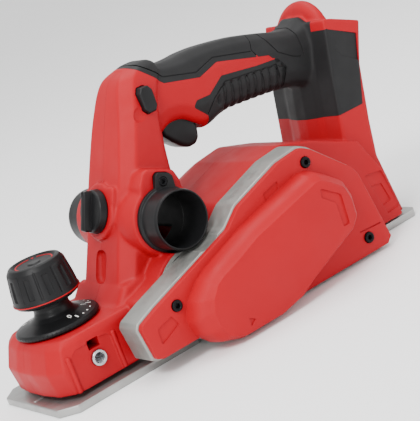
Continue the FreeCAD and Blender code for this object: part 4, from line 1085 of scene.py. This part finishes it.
@dataclass
class BeltSide:
    """Cast band with its tray and drum arch, and the moulded cover over the belt.

    Attributes:
        drum: the cutter's axis.
        motor: the motor's axis.
        port: the chip outlets' axis.
        web_back, web_face, band_face, plate_face, cover_face, far_plate: Y of the flat faces.
        arch_outer, arch_inner: radii of the arch over the drum.
        drum_hub, motor_hub, drum_seat, motor_seat, drum_shaft, motor_shaft: radii of the bearing
            hubs, of the bearings' seats in them, and of the ways through for the shafts.
        duct, screw_boss, screw_bore: radii of the outlets' way, the screw bosses and their bores.
        band, tray, plate: side outlines of the casting, of its tray and of the cover's flange.
        bulge, face: side outlines of the cover's foot and of its flat face.
        screws: the cover screws, as (x, z).
        MARKS: the cover's shallow marks, as (outline, depth, corner radius).
    """

    drum: Vector
    motor: Vector
    port: Vector
    web_back: float = -46.0
    web_face: float = -56.0
    band_face: float = -66.0
    plate_face: float = -70.0
    cover_face: float = -86.0
    far_plate: float = 39.0
    arch_outer: float = 31.5
    arch_inner: float = 29.0
    drum_hub: float = 17.0
    motor_hub: float = 13.0
    drum_seat: float = 13.05
    motor_seat: float = 9.05
    drum_shaft: float = 8.0
    motor_shaft: float = 6.0
    duct: float = 20.9
    screw_boss: float = 5.0
    screw_bore: float = 2.05
    band: tuple = ((-91, 13), (-86, 11), (-56, 11), (-46, 3), (-34, 1.5), (96, 1.5), (101, 6), (99, 17),
                   (92, 54, 9), (89, 60, 9), (63, 84, 9), (56, 88, 9), (36, 86, 12), (-2, 73.5, 12),
                   (-14, 64, 9), (-78, 43, 9), (-92, 37.5, 3), (-94, 34.5, 3))
    tray: tuple = ((-86, 16), (-54, 16), (-44, 7), (-34, 5.5), (95, 5.5), (96, 8), (88, 52), (61, 79),
                   (54, 84), (37, 82), (0, 70), (-12, 60.5), (-76, 39.5), (-88, 35))
    plate: tuple = ((-89.5, 14), (-85, 12.2), (-56, 12.2), (-46, 4.2), (-34, 2.7), (95.5, 2.7), (99.5, 6.5),
                    (97.6, 16.6), (90.7, 53.4, 8), (88, 59.2, 8), (62.4, 82.6, 8), (55.6, 86.7, 8),
                    (36.2, 84.7, 12), (-1.6, 72.4, 12), (-14, 62.8, 8), (-78, 41.7, 8), (-91, 36.6, 2.5),
                    (-92.4, 34, 2.5))
    bulge: tuple = ((-58, 36), (-47, 45), (-38, 49.5), (-24, 54.5), (-6, 61), (46, 73.5), (53, 72.5),
                    (61, 67), (71, 59), (74.5, 48), (74, 33), (67, 26), (24, 10), (13, 4.5), (-6, 1.9),
                    (-38, 1.9), (-52, 6), (-60.5, 15), (-63, 25))
    face: tuple = ((-49, 34), (-43, 41), (-37, 44), (-23, 48.5), (-6, 55), (46, 67), (51, 67), (58, 62.5),
                   (66, 56), (68.5, 47), (68, 35), (62, 29), (22, 13), (11, 7.5), (-7, 4), (-36, 4), (-46, 8),
                   (-51, 16), (-52, 26))
    screws: tuple = ((-65, 37), (55, 77), (82, 13))

    MARKS: ClassVar[tuple] = (
        (((18, 72, 0.8), (31, 75.1, 0.8), (30, 70, 0.8), (18, 67, 0.8)), -69.3, 0.8),
        (((-82.3, 30, 1), (-71, 33, 1), (-67.6, 26.5, 1), (-83, 20, 1)), -69.2, 1),
        (((-31, 13.2), (-26.6, 10.6), (-31, 8)), -85.2, 0.3),
        (((48, 62.4, 1), (61.6, 52.6, 2), (60.6, 33.4, 1), (55.6, 33.2, 1), (55.8, 49.4, 2), (47, 56.6, 1)),
         -85.0, 1),
        (((77, 19.4), (94.4, 18.3), (94.4, 17.4), (77, 18.5)), -69.3, 0))

    def rod(self, radius: float, at: Vector, start: float, end: float, steps: int = 72) -> Solid:
        """Return a rod along Y on an axis of the tool."""
        return Solid.crossrod(radius, (at.x, at.z), start, end, steps)

    def casting(self) -> None:
        """Make the cast band, its webs, the arch over the drum and the far plate."""
        drum, motor = self.drum, self.motor
        body = Solid.pillow(Plane.SIDE, self.band, self.web_back, self.band_face, 1.6, 0, 1.5)
        body = body.cut(Solid.pillow(Plane.SIDE, self.tray, self.web_face, self.band_face - 2, 2))
        outer, web = self.arch_outer, self.web_face
        arch = self.rod(outer, drum, self.web_back - 0.02, 39.6).cut(self.rod(self.arch_inner, drum, -50, 36))
        disc = ((0, -3), (outer, -3), (outer, 2.5, 0.9), (0, 2.5))
        plate = Solid.spun(disc, (drum.x, self.far_plate, drum.z), (0, 1, 0))
        hubs = [self.rod(self.drum_hub, drum, web - 4, web + 1), self.rod(5, drum, 34.5, 40),
                self.rod(self.motor_hub, motor, web - 4, web + 1)]
        bosses = [Solid.crossrod(self.screw_boss, spot, web + 1, self.band_face, 48) for spot in self.screws]
        throat = Solid.block((-72, -36, 40), (-30, 36, 70))
        mouth = [Solid.block((-70, -46.03, -10), (6, 50, 6.5)), Solid.block((-70, -46, -10), (-44, 50, 22))]
        gates = [throat, *mouth, self.rod(self.duct, self.port, -70, -26),
                 self.rod(self.duct, self.port, 28, 68)]
        for axis, seat, shaft in ((drum, self.drum_seat, self.drum_shaft),
                                  (motor, self.motor_seat, self.motor_shaft)):
            gates += [self.rod(seat, axis, web - 5, web + 3), self.rod(shaft, axis, web - 6, web + 25)]
        gates += [Solid.crossrod(self.screw_bore, spot, self.band_face - 1, web - 1, 24)
                  for spot in self.screws]
        body = body.add(arch, plate, *hubs, *bosses).cut(*gates)
        piece("drum_housing", body, CAST_ALLOY, "frame", ["drum_housing"], smooth=35)

    def cover(self) -> None:
        """Make the cover: a flat flange and a soft bulge with a crisp face."""
        flange = Solid.pillow(Plane.SIDE, self.plate, self.band_face, self.plate_face, 1.4, 0, 0.8)
        levels = ((self.plate_face + 0.5, 0, 0.0), (self.plate_face - 0.4, 0.012, 0.0), (-71.6, 0.04, 0.0),
                  (-74.5, 0.09, 0.0), (-77.5, 0.17, 0.0), (-80.2, 0.32, 0.0), (-82.4, 0.58, 0.0),
                  (-84, 0.86, 0.0), (-85.1, 1.0, 0.0), (-85.7, 1.0, 0.45), (self.cover_face, 1.0, 1.2))
        base = [(*corner, 6)[:3] for corner in self.bulge]
        face = [(*corner, 5)[:3] for corner in self.face]
        inner = ((self.band_face + 1, 0, 3.2), (-74, 0.08, 3.4), (-79, 0.3, 3.2), (-83, 1.0, 2.6))

        def morph(rows: Sequence[tuple], arc: int) -> Solid:
            """Skin the outlines between the base and the face, by (depth, share, inset) rows."""
            return Solid.loft(Plane.SIDE, [(y, rounded(inset(between(base, face, share), by), 3, arc))
                                           for y, share, by in rows])

        cuts = [Solid.pillow(Plane.SIDE, mark, floor, floor - 6, radius)
                for mark, floor, radius in self.MARKS]
        for spot in self.screws:
            cuts.append(Solid.crossrod(3.75, spot, -80, self.plate_face + 2, 40))
            cuts.append(Solid.crossrod(2.3, spot, -72, -60, 24))
        cover = flange.add(morph(levels, 5)).cut(morph(inner, 4), *cuts)
        piece("belt_cover", cover, RED_SHELL, "frame", ["belt_cover"], smooth=26)
        heads = [socket_screw(3.5, 3.3, 2.0, 11).move(standing((x, self.plate_face - 1.4, z), (0, -1, 0)))
                 for x, z in self.screws]
        piece("cover_screws", heads, SCREW_OXIDE, "frame", ["cover_screws"])


@dataclass
class Shoes:
    """The two soles, the front one with its posts, pointer and groove.

    Attributes:
        drum: the cutter's axis.
        knob: the depth knob's axis.
        half_length, half, thick: half the sole's length, half its width, and its thickness.
        screws: the rear shoe's screws, as (x, y).
    """

    drum: Vector
    knob: Vector
    half_length: float = 146.0
    half: float = 44.0
    thick: float = 5.0
    screws: tuple = ((14, -32), (14, 32), (118, -32), (118, 32))

    def build(self) -> None:
        """Make both shoes and the countersunk screws of the rear one."""
        long, half = self.half_length, self.half
        relief = Solid.rod(29.15, (self.drum.x, -50, self.drum.z), (self.drum.x, 50, self.drum.z), 128)
        front_end, toe_cut, heel_cut = -45.5, 10, 4
        outline = ((-long, -half + toe_cut, 1.5), (-long + toe_cut, -half, 1.5), (front_end, -half, 0.4),
                   (front_end, half, 0.4), (-long + toe_cut, half, 1.5), (-long, half - toe_cut, 1.5))
        front = Solid.pillow(Plane.TOP, outline, 0, self.thick, 1, 0.5, 0.7)
        x, y = self.knob.x, self.knob.y
        pointer = oblong(-long + 3, -long + 10, -1.2, 1.2)
        raised = [Solid.pillow(Plane.TOP, pointer, 4, self.thick + 0.6, 0.5, 0, 0.3),
                  Solid.rod(10, (x, y, 4), (x, y, 17))]
        raised += [Solid.rod(4, (-76, side * 22, 4), (-76, side * 22, 20)) for side in (-1, 1)]
        groove = Solid.pillow(Plane.FRONT, ((-1.3, -1), (1.3, -1), (0, 1.2)), -long - 1, -60, 0)
        edge = Solid.pillow(Plane.SIDE, ((-150, -1), (-145.2, -1), (-146.4, 1.8), (-150, 1.8)), -50, 50, 0)
        body = front.add(*raised).cut(relief, groove, edge, Solid.rod(5.3, (x, y, 3), (x, y, 43)))
        piece("front_shoe", body, SHOE_ALLOY, "front_shoe", ["front_shoe"], smooth=30)
        outline = ((-20, -half, 0.4), (long - heel_cut, -half, 1.5), (long, -half + heel_cut, 1.5),
                   (long, half - heel_cut, 1.5), (long - heel_cut, half, 1.5), (-20, half, 0.4))
        rear = Solid.pillow(Plane.TOP, outline, 0, self.thick, 1, 0.5, 0.7)
        profile = ((0, -1), (4.3, -1), (4.3, 0.8), (2.3, 2.8), (2.3, 6), (0, 6))
        holes = [Solid.lathe(profile, (sx, sy, 0), steps=40) for sx, sy in self.screws]
        piece("rear_shoe", rear.cut(relief, *holes), SHOE_ALLOY, "frame", ["rear_shoe"], smooth=30)
        heads = []
        profile = ((0, 0.3), (3.9, 0.3), (4.1, 0.5), (4.1, 0.8), (2.2, 2.7), (2.2, 14), (0, 14))
        for sx, sy in self.screws:
            head = Solid.lathe(profile, (sx, sy, 0), steps=40)
            slots = [Solid.block((sx - reach, sy - across, 0), (sx + reach, sy + across, 1.5))
                     for reach, across in ((2.3, 0.45), (0.45, 2.3))]
            heads.append(head.cut(slots[0].add(slots[1])))
        piece("shoe_screws", heads, GROUND_STEEL, "frame", ["shoe_screws"])


@dataclass
class DepthKnob:
    """The depth knob: a dial with marks and a fluted grip; its thin ring keeps the CAD shape.

    Attributes:
        axis: the knob's centre line.
        floor: height of the dial's under face.
        flutes: number of flutes and pockets round the grip.
        slope: fall of the dial's face for each millimetre outwards.
        bore: radius of the spindle's way.
    """

    axis: Vector
    floor: float = 41.3
    flutes: int = 20
    slope: float = 0.28
    bore: float = 5.02

    def turned(self, profile: Outline, steps: int = 192) -> Solid:
        """Return a profile turned about the knob's axis."""
        return Solid.lathe(profile, (self.axis.x, 0, self.floor), (0, 0, 1), steps)

    def hole(self, low: float, high: float) -> Solid:
        """Return the spindle's way between two heights."""
        return self.turned(((0, low), (self.bore, low), (self.bore, high), (0, high)), 48)

    def spot(self, turn: float, radius: float, height: float) -> Vector:
        """Return the place at some angle, radius and height on the knob."""
        angle = math.radians(turn)
        return Vector((self.axis.x + radius * math.cos(angle), radius * math.sin(angle), self.floor + height))

    def dial(self) -> None:
        """Make the dial, with a fine milled rim and its printed marks."""
        profile = ((0, 0), (25.5, 0), (27, 1.2, 0.4), (27, 2.6, 0.5), (26, 3.8, 0.4), (16, 6.6, 6),
                   (12.5, 9, 4), (11.3, 12.5, 4), (11.8, 15.5), (0, 15.5))
        body = self.turned(rounded(profile, steps=6, closed=False))
        notches = [Solid.rod(0.35, self.spot(turn, 27.1, -1), self.spot(turn, 27.1, 5), 8)
                   for turn in range(0, 360, 6)]
        body = body.cut(notches[0].add(*notches[1:]), self.hole(-1, 16))
        piece("knob_dial", body, DIAL_NYLON, "depth_knob", ["knob_dial"], smooth=30)
        self.marks()

    def surface(self, radius: float) -> float:
        """Return the height of the dial's sloping face at a radius."""
        return 6.6 - (radius - 16) * self.slope

    def marks(self) -> None:
        """Print ticks, dots and small numbers round the dial's face."""
        ticks = [self.patch(turn, 21.6, 0.9, 3.2) for turn in (-80, -20, 40, 85, 130)]
        dots = [self.patch(turn, 22.8, 0.9, 1.0) for turn in (-68, -56, -42, -8, 6, 20, 55, 70, 100, 115)]
        piece("dial_marks", ticks + dots, DIAL_PRINT, "depth_knob")
        words = [("0", -88, 18), ("1", -28, 18.6), ("2", 40, 17.4), ("3", 85, 17.4), ("4", 122, 17.4)]
        shapes = [self.number(word, turn, radius) for word, turn, radius in words]
        piece("dial_numbers", shapes, DIAL_PRINT, "depth_knob")

    def patch(self, turn: float, radius: float, wide: float, long: float) -> Solid:
        """Return a thin printed bar that lies on the dial's slope."""
        bar = Solid.block((-long / 2, -wide / 2, -0.25), (long / 2, wide / 2, 0.12))
        return bar.move(self.on_slope(turn, radius))

    def on_slope(self, turn: float, radius: float) -> Matrix:
        """Return the frame on the dial's face at some angle: X outwards, Z off the face."""
        place = Matrix.Translation(self.spot(turn, radius, self.surface(radius)))
        tilt = Matrix.Rotation(math.atan(self.slope), 4, "Y")
        return place @ Matrix.Rotation(math.radians(turn), 4, "Z") @ tilt

    def number(self, word: str, turn: float, radius: float) -> Solid:
        """Return a printed numeral that lies on the dial's slope, read from outside."""
        curve = bpy.data.curves.new("numeral", "FONT")
        curve.body = word
        curve.size = 5.2
        curve.extrude = 0.14
        curve.align_x = "CENTER"
        curve.align_y = "CENTER"
        holder = linked("numeral", curve)
        mesh = bpy.data.meshes.new_from_object(holder.evaluated_get(bpy.context.evaluated_depsgraph_get()))
        bpy.data.objects.remove(holder)
        bpy.data.curves.remove(curve)
        shape = bmesh.new()
        shape.from_mesh(mesh)
        bpy.data.meshes.remove(mesh)
        bmesh.ops.remove_doubles(shape, verts=shape.verts, dist=0.001)
        return Solid(shape).move(self.on_slope(turn, radius) @ Matrix.Rotation(math.radians(90), 4, "Z"))

    def grip(self) -> None:
        """Make the grip, narrow flutes and small rectangular pockets in turn round its skirt."""
        profile = ((0, 15.5), (13, 15.5), (17, 16.6, 1), (20, 18.2, 1), (21.2, 20, 0.3), (21.2, 20.7, 0.2),
                   (21.0, 22, 0.5), (20.4, 28, 5), (18.6, 39.5, 3), (16.5, 42.4, 1.2), (14.4, 42.9, 0.8),
                   (13.2, 41.6, 0.6), (4.6, 41.2, 0.6), (3.8, 41.9, 0.6), (0, 41.9))
        body = self.turned(rounded(profile, steps=6, closed=False))
        cuts = []
        for index in range(self.flutes):
            turn = 360 / self.flutes * index + 4
            if index % 2:
                cuts.append(Solid.rod(1.0, self.spot(turn, 21.5, 22.6), self.spot(turn, 18.9, 41.4), 12))
            else:
                pocket = Solid.block((-1.2, -1.9, -6.6), (3, 1.9, 6.6), 0.5)
                lean = Matrix.Rotation(math.radians(-7.5), 4, "Y")
                cuts.append(pocket.move(Matrix.Translation(self.spot(turn, 20.4, 30.6)) @
                                        Matrix.Rotation(math.radians(turn), 4, "Z") @ lean))
        body = body.cut(*cuts)
        body = body.cut(self.hole(10, 40.1))
        piece("knob_grip", body, BLACK_NYLON, "depth_knob", ["knob_grip"], smooth=30)
        self.arcs()

    def arcs(self) -> None:
        """Inlay the red arcs and the dot in the dished top."""
        inlays = []
        low, high, steps = 41.2, 41.75, 24
        for start, end in ((-150, -62), (-40, 52), (78, 186)):
            line = [start + (end - start) * step / steps for step in range(steps + 1)]
            band = [self.spot(turn, 12.3, 0)[:2] for turn in line]
            band += [self.spot(turn, 11.4, 0)[:2] for turn in reversed(line)]
            inlays.append(Solid.loft(Plane.TOP, [(self.floor + height, band) for height in (low, high)]))
        inlays.append(Solid.rod(0.9, self.spot(66, 11.8, low), self.spot(66, 11.8, high), 20))
        piece("knob_arcs", inlays, RED_TRIM, "depth_knob")

    def build(self) -> None:
        """Make the dial and the grip; the ring at the grip's foot is not made here."""
        self.dial()
        self.grip()


@dataclass
class Outlets:
    """The two chip outlets on one axis, and the near one's screw tab.

    Attributes:
        axis: the outlets' centre line.
        bore, outer: inner and outer radii of a tube.
        face, reach: distances of the seats and of the tubes' ends from the middle.
        tab: side outline of the screw tab.
        screw: the tab's screw, as (x, z).
    """

    axis: Vector
    bore: float = 17.3
    outer: float = 19.0
    face: float = 37.0
    reach: float = 56.0
    tab: tuple = ((-36.8, 92), (-31, 105.5, 2.4), (-28.4, 106.9, 2.4), (-21.5, 103.9, 2.4),
                  (-19.7, 101.2, 2.4), (-20.5, 90))
    screw: tuple = (-27.3, 100.4)

    def tube(self, side: int) -> Solid:
        """Return an outlet that stands out of one side, with a soft lip and a collar."""
        start, face, end = self.face - 8, self.face, self.reach
        bore, outer, collar = self.bore, self.outer, 20.6
        profile = ((bore, start), (outer, start), (outer, face + 1.2), (collar, face - 0.4),
                   (collar, face + 2.4, 0.6), (19.4, face + 3, 0.3), (outer, face + 3.6, 0.3),
                   (outer - 0.25, end - 2.2, 0.8), (outer - 0.7, end, 0.5), (bore + 0.3, end, 0.3),
                   (bore, end - 0.6))
        return Solid.lathe(rounded(profile, steps=5), (self.axis.x, 0, self.axis.z), (0, side, 0), 128, True)

    def build(self) -> None:
        """Make both outlets and the tab's screw."""
        x, z = self.screw
        tab = Solid.pillow(Plane.SIDE, self.tab, 2.9 - self.face, -self.face - 3, 2.4, 0, 0.5)
        way = Solid.crossrod(self.bore + 0.5, (self.axis.x, self.axis.z), -60, -20, 96)
        holes = [Solid.crossrod(1.7, self.screw, -45, -20, 24),
                 Solid.crossrod(3.15, self.screw, -45, -37.4, 40)]
        near = self.tube(-1).add(tab.cut(way)).cut(*holes)
        piece("dust_port", near, BLACK_NYLON, "frame", ["dust_port"], smooth=30)
        piece("far_outlet", self.tube(1), BLACK_NYLON, "frame", ["far_outlet"], smooth=30)
        wall = oblong(self.bore + 0.2, 18.6, -28.5, 28.5)
        lining = Solid.lathe(wall, (self.axis.x, 0, self.axis.z), (0, 1, 0), 96, True)
        chute = Solid.block((self.axis.x - 14, -16, self.axis.z - 30), (self.axis.x + 14, 16, self.axis.z))
        piece("duct_lining", lining.cut(chute), SMOKED, "frame", smooth=30)
        screw = socket_screw(3, 2.5, 1.5, 12).move(standing((x, -self.face - 3.2, z), (0, -1, 0)))
        piece("port_screw", screw, SCREW_OXIDE, "frame", ["port_screw"])


@dataclass
class Controls:
    """The trigger, the lock-off button and the diverter's knob.

    Attributes:
        housing: the shell that holds them, for the frames they share.
    """

    housing: Housing
    trigger: tuple = ((1.5, 124, 1), (2.5, 118, 5), (7, 112.5, 8), (12.5, 107.5, 8), (17.5, 104.3, 6),
                      (23, 104.6, 5), (26.5, 108, 5), (28, 114.5, 5), (28, 121, 3), (26, 125.5, 2),
                      (12, 131, 1), (3, 130.5, 1))

    def build(self) -> None:
        """Make the trigger, the button and the knob."""
        pad = Solid.pillow(Plane.SIDE, self.trigger, -9.5, 9.5, 3, 3.2, 3.2, 6)
        pad = pad.cut(Solid.crossrod(2.05, (5, 127), -20, 20, 32))
        piece("trigger", pad, BLACK_NYLON, "trigger", ["trigger"], smooth=40)
        bar = Solid.pillow(Plane.SIDE, Housing.lozenge(), -25.5, 25.5, 1.3, 1.6, 1.6, 5)
        piece("lock_off_button", bar, BLACK_NYLON, "lock_off", ["lock_off_button"], smooth=40)
        self.diverter()

    def diverter(self) -> None:
        """Make the round knob with its raised blade."""
        base = Solid.spun(((0, 3.3), (13.6, 3.3), (14, 4.2, 0.4), (13.2, 8, 1.2), (12, 8.8, 0.8), (0, 9.2)),
                          steps=128, arc=6)
        shaft = Solid.lathe(((0, -12.5), (5, -12.5), (5, 4), (0, 4)), steps=48)
        fin = ((-2.8, 7), (2.8, 7), (2.3, 14.2, 1.6), (-2.3, 14.2, 1.6))
        blade = Solid.pillow(Plane.FRONT, fin, -12.8, 12.8, 0.5, 1.5, 1.5)
        rim = Solid.spun(((0, 2), (13, 2), (13, 11, 3), (11.6, 14.9, 2), (0, 15)), arc=6)
        knob = base.add(shaft, blade.common(rim))
        tick = Solid.pillow(Plane.TOP, oblong(9, 12.2, -0.5, 0.5), 13.2, 16, 0.3)
        piece("diverter_knob", knob.cut(tick).move(self.housing.diverter_matrix()), BLACK_NYLON, "diverter",
              ["diverter_knob"], smooth=32)


@dataclass
class Fence:
    """The threaded inserts that take a fence's screws."""

    inserts: tuple = ((-1, "near_fence_insert"), (1, "far_fence_insert"))

    def build(self) -> None:
        """Make both inserts, with a bevel and turns of thread in their bores."""
        for side, name in self.inserts:
            profile = [(3.6, 0), (4.7, 0), (4.98, 0.3), (4.98, 11.7), (4.7, 12), (3.3, 12)]
            for turn in range(11, 0, -1):
                profile += [(3.3, turn + 0.5), (3.0, turn)]
            at = centre_of(name)
            shape = Solid.lathe(profile, (at.x, side * 38.6, at.z), (0, -side, 0), 64, True)
            piece(name, shape, GROUND_STEEL, "frame", [name], smooth=25)


@dataclass
class BatteryBay:
    """The lining of the battery bay with its side rails, and the terminal block with slots for its blades.

    Attributes:
        housing: the shell that holds the bay, for its leaning frame.
        half: half the width of the battery's way.
    """

    housing: Housing
    half: float = 24.0

    def box(self, low: Place, high: Place, soft: float = 0.0) -> Solid:
        """Return a box in the bay's leaning frame."""
        return Solid.block(low, high, soft, self.housing.lean_matrix())

    def build(self) -> None:
        """Make the lining, the rails and the terminals."""
        half = self.half
        shell = self.box((-15.9, -half - 3.4, -30), (1, half + 3.4, 91.8), 0.6)
        way = self.box((-13, -half, -40), (-2.4, half, 84))
        mouth = self.box((-4, 4 - half, -40), (12, half - 4, 80), 0.8)
        grooves = [self.box((-13.5, side - 0.6, -20), (-12.5, side + 0.6, 56)) for side in (-14, 14)]
        piece("battery_rails", shell.cut(way, mouth, *grooves), SMOKED, "frame", ["battery_rails"], smooth=30)
        block = self.box((-13, -13, 62), (-6, 13, 84), 0.8)
        slots = [self.box((-11.4, y - 1.0, 58), (-7.2, y + 1.0, 64.5)) for y in (-9, -3, 3, 9)]
        piece("terminal_block", block.cut(*slots), BLACK_NYLON, "frame", ["terminal_block"], smooth=30)


class Works:
    """Finishes for the CAD pieces whose shapes are already right."""

    FINISHES = {
        "diverter_flap": BLACK_NYLON, "switch_module": SMOKED, "cooling_fan": BLACK_NYLON,
        "knob_ring": RED_TRIM, "depth_spindle": GROUND_STEEL, "detent_spring": GROUND_STEEL,
        "trigger_pin": GROUND_STEEL, "trigger_spring": GROUND_STEEL, "motor_stator": GROUND_STEEL,
        "motor_rotor": GROUND_STEEL, "motor_shaft": GROUND_STEEL, "bearings": GROUND_STEEL,
        "drum_nut": GROUND_STEEL, "motor_nut": GROUND_STEEL, "blade_screws": SCREW_OXIDE,
        "blade_clamps": CAST_ALLOY, "blades": CARBIDE, "cutter_drum": SHOE_ALLOY,
        "driven_pulley": PULLEY_ALLOY, "drive_pulley": PULLEY_ALLOY, "drive_belt": BELT_RUBBER,
        "controller": BOARD_LACQUER, "contact_blades": CONTACT_BRASS,
    }

    def dress(self) -> None:
        """Give each of these nodes its finish."""
        for name, finish in self.FINISHES.items():
            item = bpy.data.objects[name]
            for slot in item.material_slots:
                slot.material = finish.material()


@dataclass(frozen=True)
class Lamp:
    """An area light; lengths in metres."""

    name: str
    place: Place
    size: float
    power: float
    aim_at: Place = (0.0, 0.0, 0.07)


class Studio:
    """Camera, lights, pale floor and white surround."""

    AZIMUTH = math.radians(-30.19)
    ELEVATION = math.radians(13.76)
    ROLL = math.radians(20.47)
    STAND = (-0.4834, -0.8647, 0.3039)
    LENS = 135.6
    FLOOR_SIZE = 6.0
    FLOOR_TONE = (0.95, 0.95, 0.95, 1)
    SURROUND_STRENGTH = 1.25
    LAMPS = (Lamp("key_light", (-0.75, -0.55, 1.05), 0.5, 16),
             Lamp("fill_light", (0.95, -0.95, 0.5), 0.7, 3.5), Lamp("top_light", (0.1, 0.15, 1.25), 0.9, 12),
             Lamp("front_light", (-1.0, -0.9, 0.25), 0.5, 4.5))

    def build(self) -> None:
        """Place everything."""
        self.floor()
        self.surround()
        self.lamps()
        self.camera()

    def floor(self) -> None:
        """Lay a near-white floor under the shoes."""
        mesh = bpy.data.meshes.new("floor")
        bm = bmesh.new()
        bmesh.ops.create_grid(bm, x_segments=1, y_segments=1, size=self.FLOOR_SIZE)
        bm.to_mesh(mesh)
        bm.free()
        floor = linked("floor", mesh)
        material = bpy.data.materials.new("studio_floor")
        material.use_nodes = True
        preset(material.node_tree.nodes["Principled BSDF"], Base_Color=self.FLOOR_TONE, Roughness=0.7)
        mesh.materials.append(material)

    def surround(self) -> None:
        """Light everything softly from a white surround."""
        world = bpy.data.worlds.new("studio")
        world.use_nodes = True
        preset(world.node_tree.nodes["Background"], Color=(1, 1, 1, 1), Strength=self.SURROUND_STRENGTH)
        bpy.context.scene.world = world

    def lamps(self) -> None:
        """Hang the soft lights."""
        for lamp in self.LAMPS:
            light = bpy.data.lights.new(lamp.name, "AREA")
            light.shape = "DISK"
            light.size = lamp.size
            light.energy = lamp.power
            holder = linked(lamp.name, light)
            holder.location = lamp.place
            away = Vector(lamp.place) - Vector(lamp.aim_at)
            holder.rotation_euler = away.to_track_quat("Z", "Y").to_euler()

    def camera(self) -> None:
        """Stand the camera low at the toe on the belt side, rolled a little."""
        azimuth, elevation, roll = self.AZIMUTH, self.ELEVATION, self.ROLL
        back = Vector((math.sin(azimuth) * math.cos(elevation), -math.cos(azimuth) * math.cos(elevation),
                       math.sin(elevation)))
        right = Vector((math.cos(azimuth), math.sin(azimuth), 0))
        up = back.cross(right)
        across = right * math.cos(roll) - up * math.sin(roll)
        above = right * math.sin(roll) + up * math.cos(roll)
        lens = bpy.data.cameras.new("camera")
        lens.lens = self.LENS
        camera = linked("camera", lens)
        turn = Matrix((across, above, back)).transposed().to_4x4()
        camera.matrix_world = Matrix.Translation(self.STAND) @ turn
        bpy.context.scene.camera = camera


def main() -> None:
    """Build the looks of the whole planer."""
    logging.basicConfig(level=logging.INFO)
    drum, motor = joint_at("cutter_spin"), joint_at("motor_spin")
    knob = joint_at("depth_turn")
    port = centre_of("far_outlet")
    housing = Housing(drum, motor, port, knob.x)
    housing.build()
    side = BeltSide(drum, motor, port)
    side.casting()
    side.cover()
    Shoes(drum, knob).build()
    DepthKnob(knob).build()
    Outlets(port).build()
    Controls(housing).build()
    Fence().build()
    BatteryBay(housing).build()
    Works().dress()
    Studio().build()


if __name__ == "__main__":
    main()
